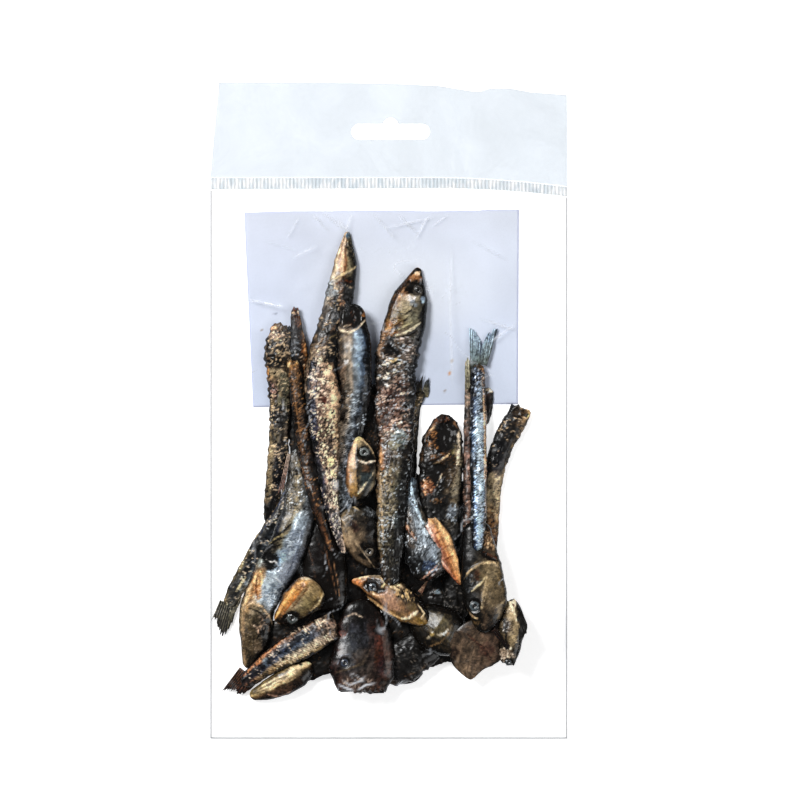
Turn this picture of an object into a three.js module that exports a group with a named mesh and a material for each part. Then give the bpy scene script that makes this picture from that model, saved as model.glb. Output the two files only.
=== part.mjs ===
// A clear header bag of dried anchovies, sealed, lying on its back with the shown face up.
// Millimetres. +X is to the right of the shown face, +Y runs up the bag to its hanging header, and +Z
// is up out of the face. The origin is the middle of the bag, on the surface that its back rests on.
import * as THREE from "three";

// The bag.
const BAG_WIDTH = 136;
const BAG_LENGTH = 250;
const EDGE_THICKNESS = 0.8; // the two films where they are welded together, with the air between them
const BACK_THICKNESS = 0.5; // the back film and the card on it, which the fish lie on
const FILM_CLEARANCE = 1.2; // the film stands this far off the fish under it
const WELD_MARGIN = 2.5; // the films lie flat this far in from the edges
const JOINT_GAP = 0.3; // between one piece of the bag and the next

// The header was cut by hand: its top edge is wavy, and its lower edge hangs down towards the right.
const HEADER_FOOT = 88.9; // the height of its lower edge above the bag's middle
const FOOT_TURN_X = 15; // the lower edge starts to hang down here
const FOOT_DROP = 3.5; // and has dropped this far at the right edge
const HEADER_TOP_EDGE = [
  [-64.7, 125], [-43, 125], [-22.4, 124.9], [0.5, 124.6], [19.5, 123.6], [31, 121.7], [34.8, 121.5],
  [38.6, 122.7], [46.2, 122.7], [53.8, 121.3], [67.9, 120.2],
];
const SEAL_HEIGHT_LEFT = 4.7;
const SEAL_HEIGHT_RIGHT = 3.9;
const SEAL_RIDGE_PITCH = 1.4;
const SEAL_RIDGE_HEIGHT = 0.6;

// The hanging slot: a long slot with a round notch in the middle of its upper edge.
const SLOT_WIDTH = 30;
const SLOT_HEIGHT = 6;
const SLOT_CENTRE_X = 0.7;
const SLOT_CENTRE_Y = 106.2;
const SLOT_NOTCH_RADIUS = 2.9;
const SLOT_NOTCH_RISE = 2.4; // the notch's top above the slot's upper edge

// The fish, in the order in which they were dropped in. Each has the line of its spine in plan, its width
// at even steps along that line, and its thickness as a share of its width.
const FISH = [
  { name: "under_left_top", flat: 0.16, wide: [4.6, 7.6, 7.6, 4.6],
    spine: [[-36.5, 14.7], [-35.3, 2.1], [-34.2, -13.1], [-33.8, -26.5]] },
  { name: "under_top", flat: 0.16, wide: [6.1, 11.4, 13, 9.1],
    spine: [[-22.8, 22.3], [-21.6, 9.7], [-19.3, -7.4], [-17.4, -22.7]] },
  { name: "under_middle", flat: 0.16, wide: [9.1, 16, 17.5, 16.8, 13],
    spine: [[-6.4, 10.1], [-7.9, -7.4], [-9.4, -26.5], [-10.2, -47.4], [-11, -72.2]] },
  { name: "under_low", flat: 0.16, wide: [9.9, 16.8, 19.1, 13.7],
    spine: [[-20.1, -39.8], [-20.1, -55.1], [-17.8, -72.2], [-14.8, -87.4]] },
  { name: "under_centre", flat: 0.16, wide: [9.1, 17.5, 21.3, 18.3],
    spine: [[7.3, -22.7], [8.1, -45.5], [8.9, -64.6], [11.9, -83.6]] },
  { name: "under_lap", flat: 0.16, wide: [9.9, 16.8, 19.1, 15.2],
    spine: [[22.6, -49.3], [24.1, -62.7], [23.3, -76], [19.5, -89.3]] },
  { name: "under_right", flat: 0.16, wide: [5.3, 7.6, 9.9, 13.7, 9.9],
    spine: [[37.1, -39.8], [37.1, -53.1], [37.8, -66.5], [41.2, -80.6], [40.1, -92]] },
  { name: "under_bottom", flat: 0.16, wide: [13, 19.1, 19.1, 11.4],
    spine: [[1.2, -74.5], [5, -85.5], [5.8, -95.1], [5, -104.2]] },
  { name: "under_foot", flat: 0.16, wide: [9.1, 13.7, 13, 9.1],
    spine: [[4.3, -97.3], [13.8, -91.6], [25.2, -88.2], [39.3, -85.9]] },
  { name: "under_left_mid", flat: 0.16, wide: [9.1, 19.1, 19.1, 13],
    spine: [[-38.8, -52.4], [-33.1, -64.6], [-26.2, -76.8], [-16.7, -88.2]] },
  { name: "under_left_low", flat: 0.16, wide: [9.9, 17.5, 17.5, 11.4],
    spine: [[-48.3, -93.2], [-39.9, -87.4], [-31.5, -82.9], [-21.6, -79.8]] },
  { name: "under_left_foot", flat: 0.16, wide: [6.1, 9.9, 12.2, 10.7],
    spine: [[-39.9, -104.2], [-31.5, -98.5], [-22.4, -93.2], [-14, -89.3]] },
  { name: "left_body", flat: 0.6, wide: [7.6, 11, 8.8, 8, 7.6, 7.2, 5.7, 2.7],
    spine: [[-40.1, 32.6], [-42, 25], [-41.8, 14.7], [-41.4, 2.1], [-41.8, -11.2], [-43.1, -23.8], [-44.7, -36], [-45.4, -49.3]] },
  { name: "left_strip", flat: 0.5, wide: [2.7, 4.6, 6.5, 6.9, 5.3],
    spine: [[-35.9, 39.4], [-35, 30.7], [-34.2, 23.1], [-33.6, 14.7], [-33.1, 8.6]] },
  { name: "right_body", flat: 0.6, wide: [8, 9.1, 8.4, 7.6, 7.2, 6.9, 6.1],
    spine: [[50.4, 1.7], [48.9, -2.5], [44.3, -10.9], [40.3, -22.7], [38.6, -37.9], [38.2, -55.4]] },
  { name: "fin_behind", flat: 0.6, wide: [7.6, 6.9, 5.3, 4.6, 3.8],
    spine: [[5, -36], [7.3, -22.7], [8.7, -9.3], [10, 1], [12.7, 7.4]] },
  { name: "small_tail", flat: 0.5, wide: [2.3, 4.6, 5, 3.4],
    spine: [[36.7, -5.5], [37.2, 1], [38, 8.6]] },
  { name: "dark_body", flat: 0.5, wide: [8.4, 12.2, 13, 9.9],
    spine: [[26.4, -26.5], [27.1, -45.5], [27.1, -62.7], [24.9, -79.8]] },
  { name: "brown_edge", flat: 1.25, wide: [3.8, 4.6, 4.2, 3.4, 2.3],
    spine: [[30.2, -57], [30.4, -26.5], [30.4, 4], [30.2, 19.2]] },
  { name: "shadow_body", flat: 0.45, wide: [10.7, 16, 17.5, 13.7],
    spine: [[-29, -30.5], [-25.4, -49.5], [-23.9, -64.6], [-22.4, -76.8]] },
  { name: "left_tail_fish", flat: 0.5, wide: [3.8, 5.7, 7.2, 7.6, 6.9, 5],
    spine: [[-35, -22.3], [-40.1, -37.5], [-47.3, -49.9], [-53.4, -60.4], [-58.6, -69.2], [-61.2, -74.9]] },
  { name: "tall_head_fish", flat: 0.6, wide: [1.9, 8.4, 10.7, 11, 12.6, 14.1, 11.4],
    spine: [[-15.7, 68.2], [-16.5, 56.6], [-18.2, 45.9], [-20.7, 34.5], [-23.5, 23.1], [-25.4, 11.6], [-27.3, 2.5]] },
  { name: "hollow_body", flat: 0.55, wide: [7.6, 12.6, 13, 12.2, 11.8, 10.3, 8.8, 5.3],
    spine: [[-13.6, 40.6], [-13.4, 30.7], [-13, 18.5], [-13, 7], [-14.4, -4.4], [-16.1, -15.8], [-17, -28.4], [-16.7, -39.8]] },
  { name: "open_belly", flat: 0.45, wide: [7.6, 15.2, 16.8, 16.4, 15.2, 13.7, 9.9],
    spine: [[21.8, -2.1], [20.5, -12.8], [19.5, -26.5], [19.9, -41.3], [21.1, -55.1]] },
  { name: "lower_head", flat: 0.5, wide: [5.3, 13.7, 17.5, 17.5, 13],
    spine: [[-3.3, -60], [-7.1, -52.8], [-11, -45.5], [-15.1, -37.1]] },
  { name: "dark_heap", flat: 0.4, wide: [11.4, 16.8, 16, 9.9],
    spine: [[-3, -101.2], [4.5, -95.8], [11.9, -90.9], [19.5, -87.4]] },
  { name: "olive_head", flat: 0.45, wide: [7.6, 15.2, 19.1, 17.5, 12.2],
    spine: [[8.9, -76.8], [15, -80.6], [21.8, -84.4], [28.7, -87.4]] },
  { name: "brown_flap", flat: 0.1, wide: [1.5, 14.5, 22.9, 21.3, 15.2],
    spine: [[31.1, -102.3], [31.1, -96.6], [32.5, -90.5], [34, -84.4], [33.2, -79.1]] },
  { name: "right_head", flat: 0.55, wide: [5.3, 8.4, 10.3, 9.5, 5.7],
    spine: [[45.1, -96.6], [45.8, -89.7], [46.6, -83.6], [46.6, -76.8], [45.2, -72.2]] },
  { name: "film_head", flat: 0.3, wide: [18.3, 25.9, 23.6, 18.3, 9.9],
    spine: [[-10.6, -107.3], [-10.2, -99.6], [-9.8, -90.5], [-10.2, -79.8], [-10.6, -71.4]] },
  { name: "striped_head", flat: 0.6, wide: [3.4, 7.6, 9.9, 9.9, 6.1],
    spine: [[-52.9, -108.8], [-44.5, -105.7], [-36.5, -101.5], [-29.2, -96.6]] },
  { name: "silver_fish", flat: 0.5, wide: [3.4, 12.6, 13.3, 14.5, 14.9, 13.3, 10.3, 5.3],
    spine: [[-54, -98.1], [-51, -87.4], [-50, -76], [-45.2, -64.6], [-38.4, -51.2], [-34, -37.9], [-34, -24.6], [-35, -14.7]] },
  { name: "grey_fish", flat: 0.5, wide: [3.8, 6.5, 12.2, 15.2, 13],
    spine: [[9, -25.3], [9, -36], [11.5, -47.8], [14.6, -57.3], [16.1, -64.6]] },
  { name: "down_head", flat: 0.45, wide: [6.1, 16.8, 16.4, 13.3, 9.1],
    spine: [[36.3, -84.4], [36.7, -74.5], [35.5, -64.6], [34.4, -53.1], [32.9, -41.7]] },
  { name: "strip_body", flat: 0.6, wide: [5, 6.1, 6.5, 6.5, 5.3, 2.3],
    spine: [[-36.3, 18.9], [-34, 2.1], [-31, -17.3], [-27.3, -34.9], [-21.6, -54.3]] },
  { name: "crumbled_body", flat: 0.6, wide: [8.4, 13.7, 11.4, 9.1, 6.9, 5, 1.9],
    spine: [[-25.8, 18.5], [-24.7, 0.2], [-23.7, -17.3], [-22, -34.9], [-19.5, -45.5], [-17, -54.3]] },
  { name: "up_head", flat: 0.5, wide: [2.7, 10.3, 12.2, 11.4, 6.5],
    spine: [[-11.5, -9.9], [-10.4, -17], [-10.4, -24.6], [-12.3, -34.1]] },
  { name: "blue_fish", flat: 0.85, wide: [3.8, 5.7, 6.1, 6.5, 6.5, 6.1, 5],
    spine: [[33.6, -53.1], [34.2, -34.1], [34, -11.2], [34, 4], [34, 17.7]] },
  { name: "gold_head", flat: 0.5, wide: [1.5, 9.5, 13.7, 12.2, 4.6],
    spine: [[-14, -64.6], [-6.8, -66.5], [2, -71.4], [9.6, -76.8], [14.6, -80.6]] },
  { name: "tail_piece", flat: 0.5, wide: [9.9, 12.2, 11, 8.4, 5.7],
    spine: [[-20.1, -81.3], [-29.2, -86.3], [-39.1, -92], [-48.3, -98.1], [-55.9, -104.2]] },
  { name: "amber_head", flat: 0.55, wide: [3.4, 9.5, 13.3, 14.9, 12.2],
    spine: [[-43.1, -80.2], [-38.4, -76.8], [-33.4, -72.2], [-26.2, -66.5]] },
  { name: "main_fish", flat: 0.48, wide: [1.9, 13.3, 16, 16.4, 16, 15.2, 13.7, 13.3, 12.2, 10.7, 9.1, 6.9],
    spine: [[11.3, 54.5], [8.3, 42.9], [5.4, 30.7], [2.6, 17.3], [2.4, 0.2], [2.6, -15], [1.6, -30.3], [1, -45.5], [0.9, -66.5]] },
  { name: "orange_flake", flat: 0.14, wide: [5.3, 9.1, 6.9, 1.1],
    spine: [[15.3, -41.3], [19.5, -49.3], [23.3, -57.7], [27.1, -66.1]] },
];

// The steps in which the heap and the film are worked out.
const CELL = 1.5;
const STATION_STEP = 1;
const PRESS_DEPTH = 1.6; // one dry fish presses this far into those under it
const SPINE_STIFFNESS = 60; // rounds of smoothing
const FILM_COLUMNS = 54;
const FILM_ROWS = 82;
const FILM_SETTLING_ROUNDS = 40;
const FOOT_STEPS = 8; // straight pieces in the part of the header's lower edge that hangs down

const HALF_WIDTH = BAG_WIDTH / 2;
const BOTTOM = -BAG_LENGTH / 2;
const TOP = BAG_LENGTH / 2;

/** The value at x of something that runs evenly from the bag's left edge to its right. */
function across(x, left, right) {
  return left + ((right - left) * (x + HALF_WIDTH)) / BAG_WIDTH;
}

/** The lower edge of the header at x. */
function headerFoot(x) {
  const share = THREE.MathUtils.clamp((x - FOOT_TURN_X) / (HALF_WIDTH - FOOT_TURN_X), 0, 1);
  return HEADER_FOOT - FOOT_DROP * share ** 2;
}

/** The lower edge of the crimped seal at x. */
function sealFoot(x) {
  return headerFoot(x) - across(x, SEAL_HEIGHT_LEFT, SEAL_HEIGHT_RIGHT);
}

/** One value out of a list, at share 0 to 1 of the way along it. */
function along(values, share) {
  const at = share * (values.length - 1);
  const i = Math.min(Math.floor(at), values.length - 2);
  return THREE.MathUtils.lerp(values[i], values[i + 1], at - i);
}

/** The heights of the heap as it fills, on a grid over the bag. */
class Heap {
  constructor() {
    this.columns = Math.ceil(BAG_WIDTH / CELL) + 1;
    this.rows = Math.ceil(BAG_LENGTH / CELL) + 1;
    this.heights = new Float32Array(this.columns * this.rows).fill(BACK_THICKNESS);
  }

  index(x, y) {
    const i = THREE.MathUtils.clamp(Math.round((x + HALF_WIDTH) / CELL), 0, this.columns - 1);
    const j = THREE.MathUtils.clamp(Math.round((y - BOTTOM) / CELL), 0, this.rows - 1);
    return j * this.columns + i;
  }

  /** The highest point of the heap within reach of x, y. */
  highestNear(x, y, reach) {
    let highest = 0;
    for (let dx = -reach; dx <= reach; dx += CELL) {
      for (let dy = -reach; dy <= reach; dy += CELL) {
        highest = Math.max(highest, this.heights[this.index(x + dx, y + dy)]);
      }
    }
    return highest;
  }

  /** Drops one fish on the heap. It bridges the dips, and sags a little between the bumps that hold it. */
  drop(fish) {
    const points = fish.spine.map(([x, y]) => new THREE.Vector3(x, y, 0));
    const curve = new THREE.CatmullRomCurve3(points, false, "catmullrom", 0.5);
    const count = Math.ceil(curve.getLength() / STATION_STEP);
    const stations = [];
    for (let k = 0; k <= count; k++) {
      const share = k / count;
      stations.push(this.station(curve, share, along(fish.wide, share), fish.flat));
    }
    const spine = bentSpine(stations.map((station) => station.support));
    stations.forEach((station, k) => {
      for (const { index, rise } of station.cells) {
        this.heights[index] = Math.max(this.heights[index], spine[k] + rise);
      }
    });
  }

  /** The cells under one cross-section of a fish, and how high the heap holds its spine there. */
  station(curve, share, width, flat) {
    const centre = curve.getPointAt(share);
    const tangent = curve.getTangentAt(share);
    const half = width / 2;
    const cells = [];
    let support = 0;
    for (let offset = -half; offset <= half; offset += CELL / 2) {
      const index = this.index(centre.x - tangent.y * offset, centre.y + tangent.x * offset);
      const rise = flat * half * Math.sqrt(Math.max(0, 1 - (offset / half) ** 2));
      cells.push({ index, rise });
      support = Math.max(support, this.heights[index] + rise);
    }
    return { cells, support };
  }
}

/** The heights of a fish's spine over these supports: it presses into them a little, and can't bend sharply. */
function bentSpine(supports) {
  const least = supports.map((support) => Math.max(BACK_THICKNESS, support - PRESS_DEPTH));
  const spine = [...least];
  const last = spine.length - 1;
  for (let round = 0; round < SPINE_STIFFNESS; round++) {
    for (let k = 0; k <= last; k++) {
      const mean = (spine[Math.max(k - 1, 0)] + spine[Math.min(k + 1, last)]) / 2;
      spine[k] = Math.max(least[k], mean);
    }
  }
  return spine;
}

/** The whole heap of fish. */
function makeHeap() {
  const heap = new Heap();
  FISH.forEach((fish) => heap.drop(fish));
  return heap;
}

/** The plan position of a point of the film's grid. */
function filmPoint(i, j) {
  const x = -HALF_WIDTH + (BAG_WIDTH * i) / FILM_COLUMNS;
  return [x, THREE.MathUtils.lerp(BOTTOM, sealFoot(x) - JOINT_GAP, j / FILM_ROWS)];
}

/** The film's heights: it is held flat at its welded edges, and stretched over the fish between them. */
function drapeFilm(heap) {
  const stride = FILM_COLUMNS + 1;
  const reach = BAG_WIDTH / FILM_COLUMNS / 2;
  const least = [];
  const held = [];
  for (let j = 0; j <= FILM_ROWS; j++) {
    for (let i = 0; i <= FILM_COLUMNS; i++) {
      const [x, y] = filmPoint(i, j);
      const inset = Math.min(HALF_WIDTH - Math.abs(x), y - BOTTOM, sealFoot(x) - y);
      const fish = heap.highestNear(x, y, reach);
      held.push(inset < WELD_MARGIN);
      least.push(inset < WELD_MARGIN || fish === BACK_THICKNESS ? EDGE_THICKNESS : fish + FILM_CLEARANCE);
    }
  }
  const film = [...least];
  for (let round = 0; round < FILM_SETTLING_ROUNDS; round++) {
    film.forEach((_, k) => {
      if (!held[k]) {
        const mean = (film[k - 1] + film[k + 1] + film[k - stride] + film[k + stride]) / 4;
        film[k] = Math.max(least[k], mean);
      }
    });
  }
  return film;
}

/** The sealed pouch: the film's form on top, a flat back, and a thin edge all round. */
function makePouch() {
  const film = drapeFilm(makeHeap());
  const stride = FILM_COLUMNS + 1;
  const positions = [];
  const faces = [];
  for (let j = 0; j <= FILM_ROWS; j++) {
    for (let i = 0; i <= FILM_COLUMNS; i++) {
      positions.push(...filmPoint(i, j), film[j * stride + i]);
    }
  }
  for (let j = 0; j < FILM_ROWS; j++) {
    for (let i = 0; i < FILM_COLUMNS; i++) {
      const a = j * stride + i;
      const [b, c, d] = [a + 1, a + stride + 1, a + stride];
      // Each square is folded along the diagonal that is nearer level, so ridges stay whole.
      if (Math.abs(film[a] - film[c]) < Math.abs(film[b] - film[d])) {
        faces.push(a, b, c, a, c, d);
      } else {
        faces.push(a, b, d, b, c, d);
      }
    }
  }
  const rim = [];
  for (let i = 0; i < FILM_COLUMNS; i++) rim.push(i);
  for (let j = 0; j < FILM_ROWS; j++) rim.push(j * stride + FILM_COLUMNS);
  for (let i = FILM_COLUMNS; i > 0; i--) rim.push(FILM_ROWS * stride + i);
  for (let j = FILM_ROWS; j > 0; j--) rim.push(j * stride);
  const foot = positions.length / 3;
  rim.forEach((k) => positions.push(positions[3 * k], positions[3 * k + 1], 0));
  const middle = positions.length / 3;
  positions.push(0, 0, 0);
  rim.forEach((k, n) => {
    const next = (n + 1) % rim.length;
    faces.push(k, foot + n, rim[next], rim[next], foot + n, foot + next);
    faces.push(middle, foot + next, foot + n);
  });
  const geometry = new THREE.BufferGeometry();
  geometry.setAttribute("position", new THREE.Float32BufferAttribute(positions, 3));
  geometry.setIndex(faces);
  geometry.computeVertexNormals();
  return geometry;
}

/** The outline of the hanging slot, with its notch, as a closed path. */
function slotPath() {
  const end = SLOT_HEIGHT / 2;
  const reach = SLOT_WIDTH / 2 - end;
  const x = SLOT_CENTRE_X;
  const y = SLOT_CENTRE_Y;
  // The notch is part of a circle whose centre is below its top by the radius.
  const notchCentre = y + end + SLOT_NOTCH_RISE - SLOT_NOTCH_RADIUS;
  const notchHalf = Math.sqrt(SLOT_NOTCH_RADIUS ** 2 - (y + end - notchCentre) ** 2);
  const turn = Math.atan2(y + end - notchCentre, notchHalf);
  const path = new THREE.Path();
  path.moveTo(x - reach, y - end);
  path.absarc(x + reach, y, end, -Math.PI / 2, Math.PI / 2, false);
  path.absarc(x, notchCentre, SLOT_NOTCH_RADIUS, turn, Math.PI - turn, false);
  path.absarc(x - reach, y, end, Math.PI / 2, (3 * Math.PI) / 2, false);
  return path;
}

/** The header: a flat strip of film above the seal, with the hanging slot cut through it. */
function makeHeader() {
  const shape = new THREE.Shape();
  shape.moveTo(-HALF_WIDTH, headerFoot(-HALF_WIDTH));
  shape.lineTo(FOOT_TURN_X, headerFoot(FOOT_TURN_X));
  for (let k = 1; k <= FOOT_STEPS; k++) {
    const x = THREE.MathUtils.lerp(FOOT_TURN_X, HALF_WIDTH, k / FOOT_STEPS);
    shape.lineTo(x, headerFoot(x));
  }
  [...HEADER_TOP_EDGE].reverse().forEach(([x, y]) => shape.lineTo(x, y));
  shape.closePath();
  shape.holes.push(slotPath());
  return new THREE.ExtrudeGeometry(shape, { depth: EDGE_THICKNESS, bevelEnabled: false, curveSegments: 10 });
}

/** The crimped seal: a strip with fine ridges that run up the bag, between the pouch and the header. */
function makeSeal() {
  const columns = 2 * Math.round(BAG_WIDTH / SEAL_RIDGE_PITCH);
  const positions = [];
  const faces = [];
  for (let k = 0; k <= columns; k++) {
    const x = -HALF_WIDTH + (BAG_WIDTH * k) / columns;
    const height = EDGE_THICKNESS + (k % 2) * SEAL_RIDGE_HEIGHT;
    const foot = sealFoot(x);
    const head = headerFoot(x) - JOINT_GAP;
    positions.push(x, foot, 0, x, head, 0, x, head, height, x, foot, height);
  }
  for (let k = 0; k < columns; k++) {
    for (let side = 0; side < 4; side++) {
      const a = 4 * k + side;
      const b = 4 * k + ((side + 1) % 4);
      faces.push(a, b, a + 4, b, b + 4, a + 4);
    }
  }
  const end = 4 * columns;
  faces.push(0, 3, 1, 1, 3, 2, end, end + 1, end + 3, end + 1, end + 2, end + 3);
  const geometry = new THREE.BufferGeometry();
  geometry.setAttribute("position", new THREE.Float32BufferAttribute(positions, 3));
  geometry.setIndex(faces);
  geometry.computeVertexNormals();
  return geometry;
}

/** A named mesh in its own finish. */
function makeMesh(name, geometry, finish) {
  const mesh = new THREE.Mesh(geometry, new THREE.MeshStandardMaterial({ metalness: 0, ...finish }));
  mesh.name = name;
  return mesh;
}

const bag = new THREE.Group();
bag.add(makeMesh("pouch", makePouch(), { color: 0x6b6355, roughness: 0.25 }));
bag.add(makeMesh("seal_strip", makeSeal(), { color: 0xe6eef5, roughness: 0.3 }));
bag.add(makeMesh("header", makeHeader(), { color: 0xe8f0fa, roughness: 0.3 }));

export default bag;
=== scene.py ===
"""A clear, sealed header bag of dried anchovies, lying on its back on a plain pale floor.

The header and the crimped seal keep their CAD shape. The pouch's one solid is replaced by what it stands for:
two clear films, the welded edges between them, a pale paper card on the back film, and the heap of whole and
broken dried fish. Plan measurements are millimetres from the middle of the bag, +Y towards the header.
"""
from __future__ import annotations

import logging
import math
from dataclasses import dataclass
from enum import Enum

import bpy
import numpy as np
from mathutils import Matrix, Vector
from mathutils.bvhtree import BVHTree

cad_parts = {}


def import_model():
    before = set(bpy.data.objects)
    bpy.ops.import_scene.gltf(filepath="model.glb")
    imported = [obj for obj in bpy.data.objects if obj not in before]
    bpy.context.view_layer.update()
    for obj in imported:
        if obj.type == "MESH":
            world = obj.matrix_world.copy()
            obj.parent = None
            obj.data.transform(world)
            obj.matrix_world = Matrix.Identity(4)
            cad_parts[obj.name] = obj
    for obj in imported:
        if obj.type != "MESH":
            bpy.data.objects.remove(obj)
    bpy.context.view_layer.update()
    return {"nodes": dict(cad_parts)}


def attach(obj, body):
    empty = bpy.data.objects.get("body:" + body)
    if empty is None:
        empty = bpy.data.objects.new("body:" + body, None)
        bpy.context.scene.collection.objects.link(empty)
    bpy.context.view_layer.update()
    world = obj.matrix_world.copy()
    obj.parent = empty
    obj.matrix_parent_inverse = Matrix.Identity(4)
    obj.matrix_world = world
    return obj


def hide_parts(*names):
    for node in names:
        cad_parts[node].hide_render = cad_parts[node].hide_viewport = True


LOG = logging.getLogger("anchovy_bag")
MM = 0.001

# The bag in plan, as in the CAD.
HALF_WIDTH = 68.0
BOTTOM = -125.0
HEADER_FOOT, HEADER_BEND_X, HEADER_DROP = 88.9, 15.0, 3.5
SEAL_HEIGHTS = (4.7, 3.9)
JOINT_GAP = 0.3
WELD_WIDTH = 0.55
WELD_HEIGHT = 0.86

# How the heap settles, as in the CAD.
BACK = 0.5
CELL = 1.5
STATION_STEP = 1.0
PRESS_DEPTH = 1.6
SPINE_ROUNDS = 60

# How finely the fish are made, mm.
ALONG_STEP = 0.42
AROUND_STEP = 0.42
UNDER_STEPS = 14

# How seen colours are turned to the skin's own.
SATURATION = 0.72
CONTRAST = 1.45
MIDDLE_TONE = 0.36
DARKENING = 0.09
DEEPEST = 0.03
WARMTH = (0.09, 0.0, -0.09)

Point = tuple[float, float]
Span = tuple[float, float]
Bands = tuple[tuple[float, str], ...]
Skin = tuple[tuple[float, Bands], ...]


class End(Enum):
    """How a piece of fish ends: rounded, or broken off."""

    ROUND = "round"
    TORN = "torn"


class Rows(Enum):
    """How the scale rows of a skin run."""

    NONE = "none"
    DIAGONAL = "diagonal"
    CHEVRON = "chevron"


class FinKind(Enum):
    """A tail grows out of its fish's end; a laid fin lies on top of the heap."""

    TAIL = "tail"
    LAID = "laid"


def srgb(colour: str) -> np.ndarray:
    """The three sRGB values, 0 to 1, of a colour as #rrggbb."""
    return np.array([int(colour[k : k + 2], 16) / 255 for k in (1, 3, 5)])


def to_linear(values: np.ndarray) -> np.ndarray:
    """Turns sRGB values to scene-linear ones."""
    values = np.clip(values, 0, 1)
    return np.where(values <= 0.04045, values / 12.92, ((values + 0.055) / 1.055) ** 2.4)


def rgba(colour: str) -> tuple[float, float, float, float]:
    """Turns a colour as #rrggbb to what a node's colour socket takes."""
    red, green, blue = to_linear(srgb(colour))
    return (float(red), float(green), float(blue), 1.0)


def smooth(low: float, high: float, value: np.ndarray) -> np.ndarray:
    """A smooth step from 0 at low to 1 at high, which may be the lesser of the two."""
    share = np.clip((value - low) / (high - low), 0, 1)
    return share * share * (3 - 2 * share)


def hashed(i: np.ndarray, j: np.ndarray, seed: int) -> np.ndarray:
    """Repeatable random values for pairs of whole numbers.

    Args:
        i: First numbers.
        j: Second numbers.
        seed: Picks one of many fields.

    Returns:
        Values from 0 to 1.
    """
    mixed = (i.astype(np.int64) * 374761393 + j.astype(np.int64) * 668265263 + seed * 97463477) & 0xFFFFFFFF
    mixed = ((mixed ^ (mixed >> 13)) * 1274126177) & 0xFFFFFFFF
    return ((mixed ^ (mixed >> 16)) & 0xFFFFFF) / 0x1000000


def noise(x: np.ndarray, y: np.ndarray, seed: int, octaves: int = 1) -> np.ndarray:
    """Smooth noise.

    Args:
        x: First coordinates, in units of one bump.
        y: Second coordinates.
        seed: Picks one of many fields.
        octaves: How many finer layers are added, each half as strong.

    Returns:
        Values around 0, mostly between -1 and 1.
    """
    total, strength = np.zeros(np.broadcast(x, y).shape), 1.0
    for octave in range(octaves):
        scale = 2.03**octave
        u, v = x * scale + 17.3 * octave, y * scale - 9.7 * octave
        i, j = np.floor(u), np.floor(v)
        fu, fv = u - i, v - j
        fu, fv = fu * fu * (3 - 2 * fu), fv * fv * (3 - 2 * fv)
        low = hashed(i, j, seed) * (1 - fu) + hashed(i + 1, j, seed) * fu
        high = hashed(i, j + 1, seed) * (1 - fu) + hashed(i + 1, j + 1, seed) * fu
        total += strength * (2 * (low * (1 - fv) + high * fv) - 1)
        strength /= 2
    return total


def cells(x: np.ndarray, y: np.ndarray, seed: int) -> tuple[np.ndarray, np.ndarray]:
    """A cellular pattern: flakes, crumbs and scales.

    Args:
        x: First coordinates, in units of one cell.
        y: Second coordinates.
        seed: Picks one of many patterns.

    Returns:
        How far inside its cell each place is, 0 at a border to about 0.7, and a random value for its cell.
    """
    i, j = np.floor(x), np.floor(y)
    first, second = np.full(x.shape, 9.0), np.full(x.shape, 9.0)
    name = np.zeros(x.shape)
    for di in (-1, 0, 1):
        for dj in (-1, 0, 1):
            ci, cj = i + di, j + dj
            across, up = (start + 0.15 + 0.7 * hashed(ci, cj, seed + k) for k, start in enumerate((ci, cj)))
            far = np.hypot(across - x, up - y)
            nearer = far < first
            second = np.where(nearer, first, np.minimum(second, far))
            name = np.where(nearer, hashed(ci, cj, seed + 2), name)
            first = np.where(nearer, far, first)
    return second - first, name


def blended(bands: Bands, at: np.ndarray) -> np.ndarray:
    """Colours across a fish.

    Args:
        bands: Positions from -1 to 1 and the colour at each.
        at: Where to take them.

    Returns:
        One sRGB colour a place.
    """
    places = [place for place, _ in sorted(bands)]
    colours = np.array([srgb(colour) for _, colour in sorted(bands)])
    return np.stack([np.interp(at, places, colours[:, k]) for k in range(3)], axis=-1)


def skin(*rows: str) -> Skin:
    """Reads the colours of a skin.

    Args:
        rows: One for each place along the fish: the place, 0 to 1, and its colours. The first is at the
            one edge, -1, and the last at the other, 1. Those between have their own place before them.

    Returns:
        Each place along, with the places and colours across it.
    """
    read = []
    for row in rows:
        along, colours = row.split(": ")
        first, *inner, last = colours.split(", ")
        between = [(float(place), colour) for place, colour in map(str.split, inner)]
        read.append((float(along), ((-1, first), *between, (1, last))))
    return tuple(read)


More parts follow.
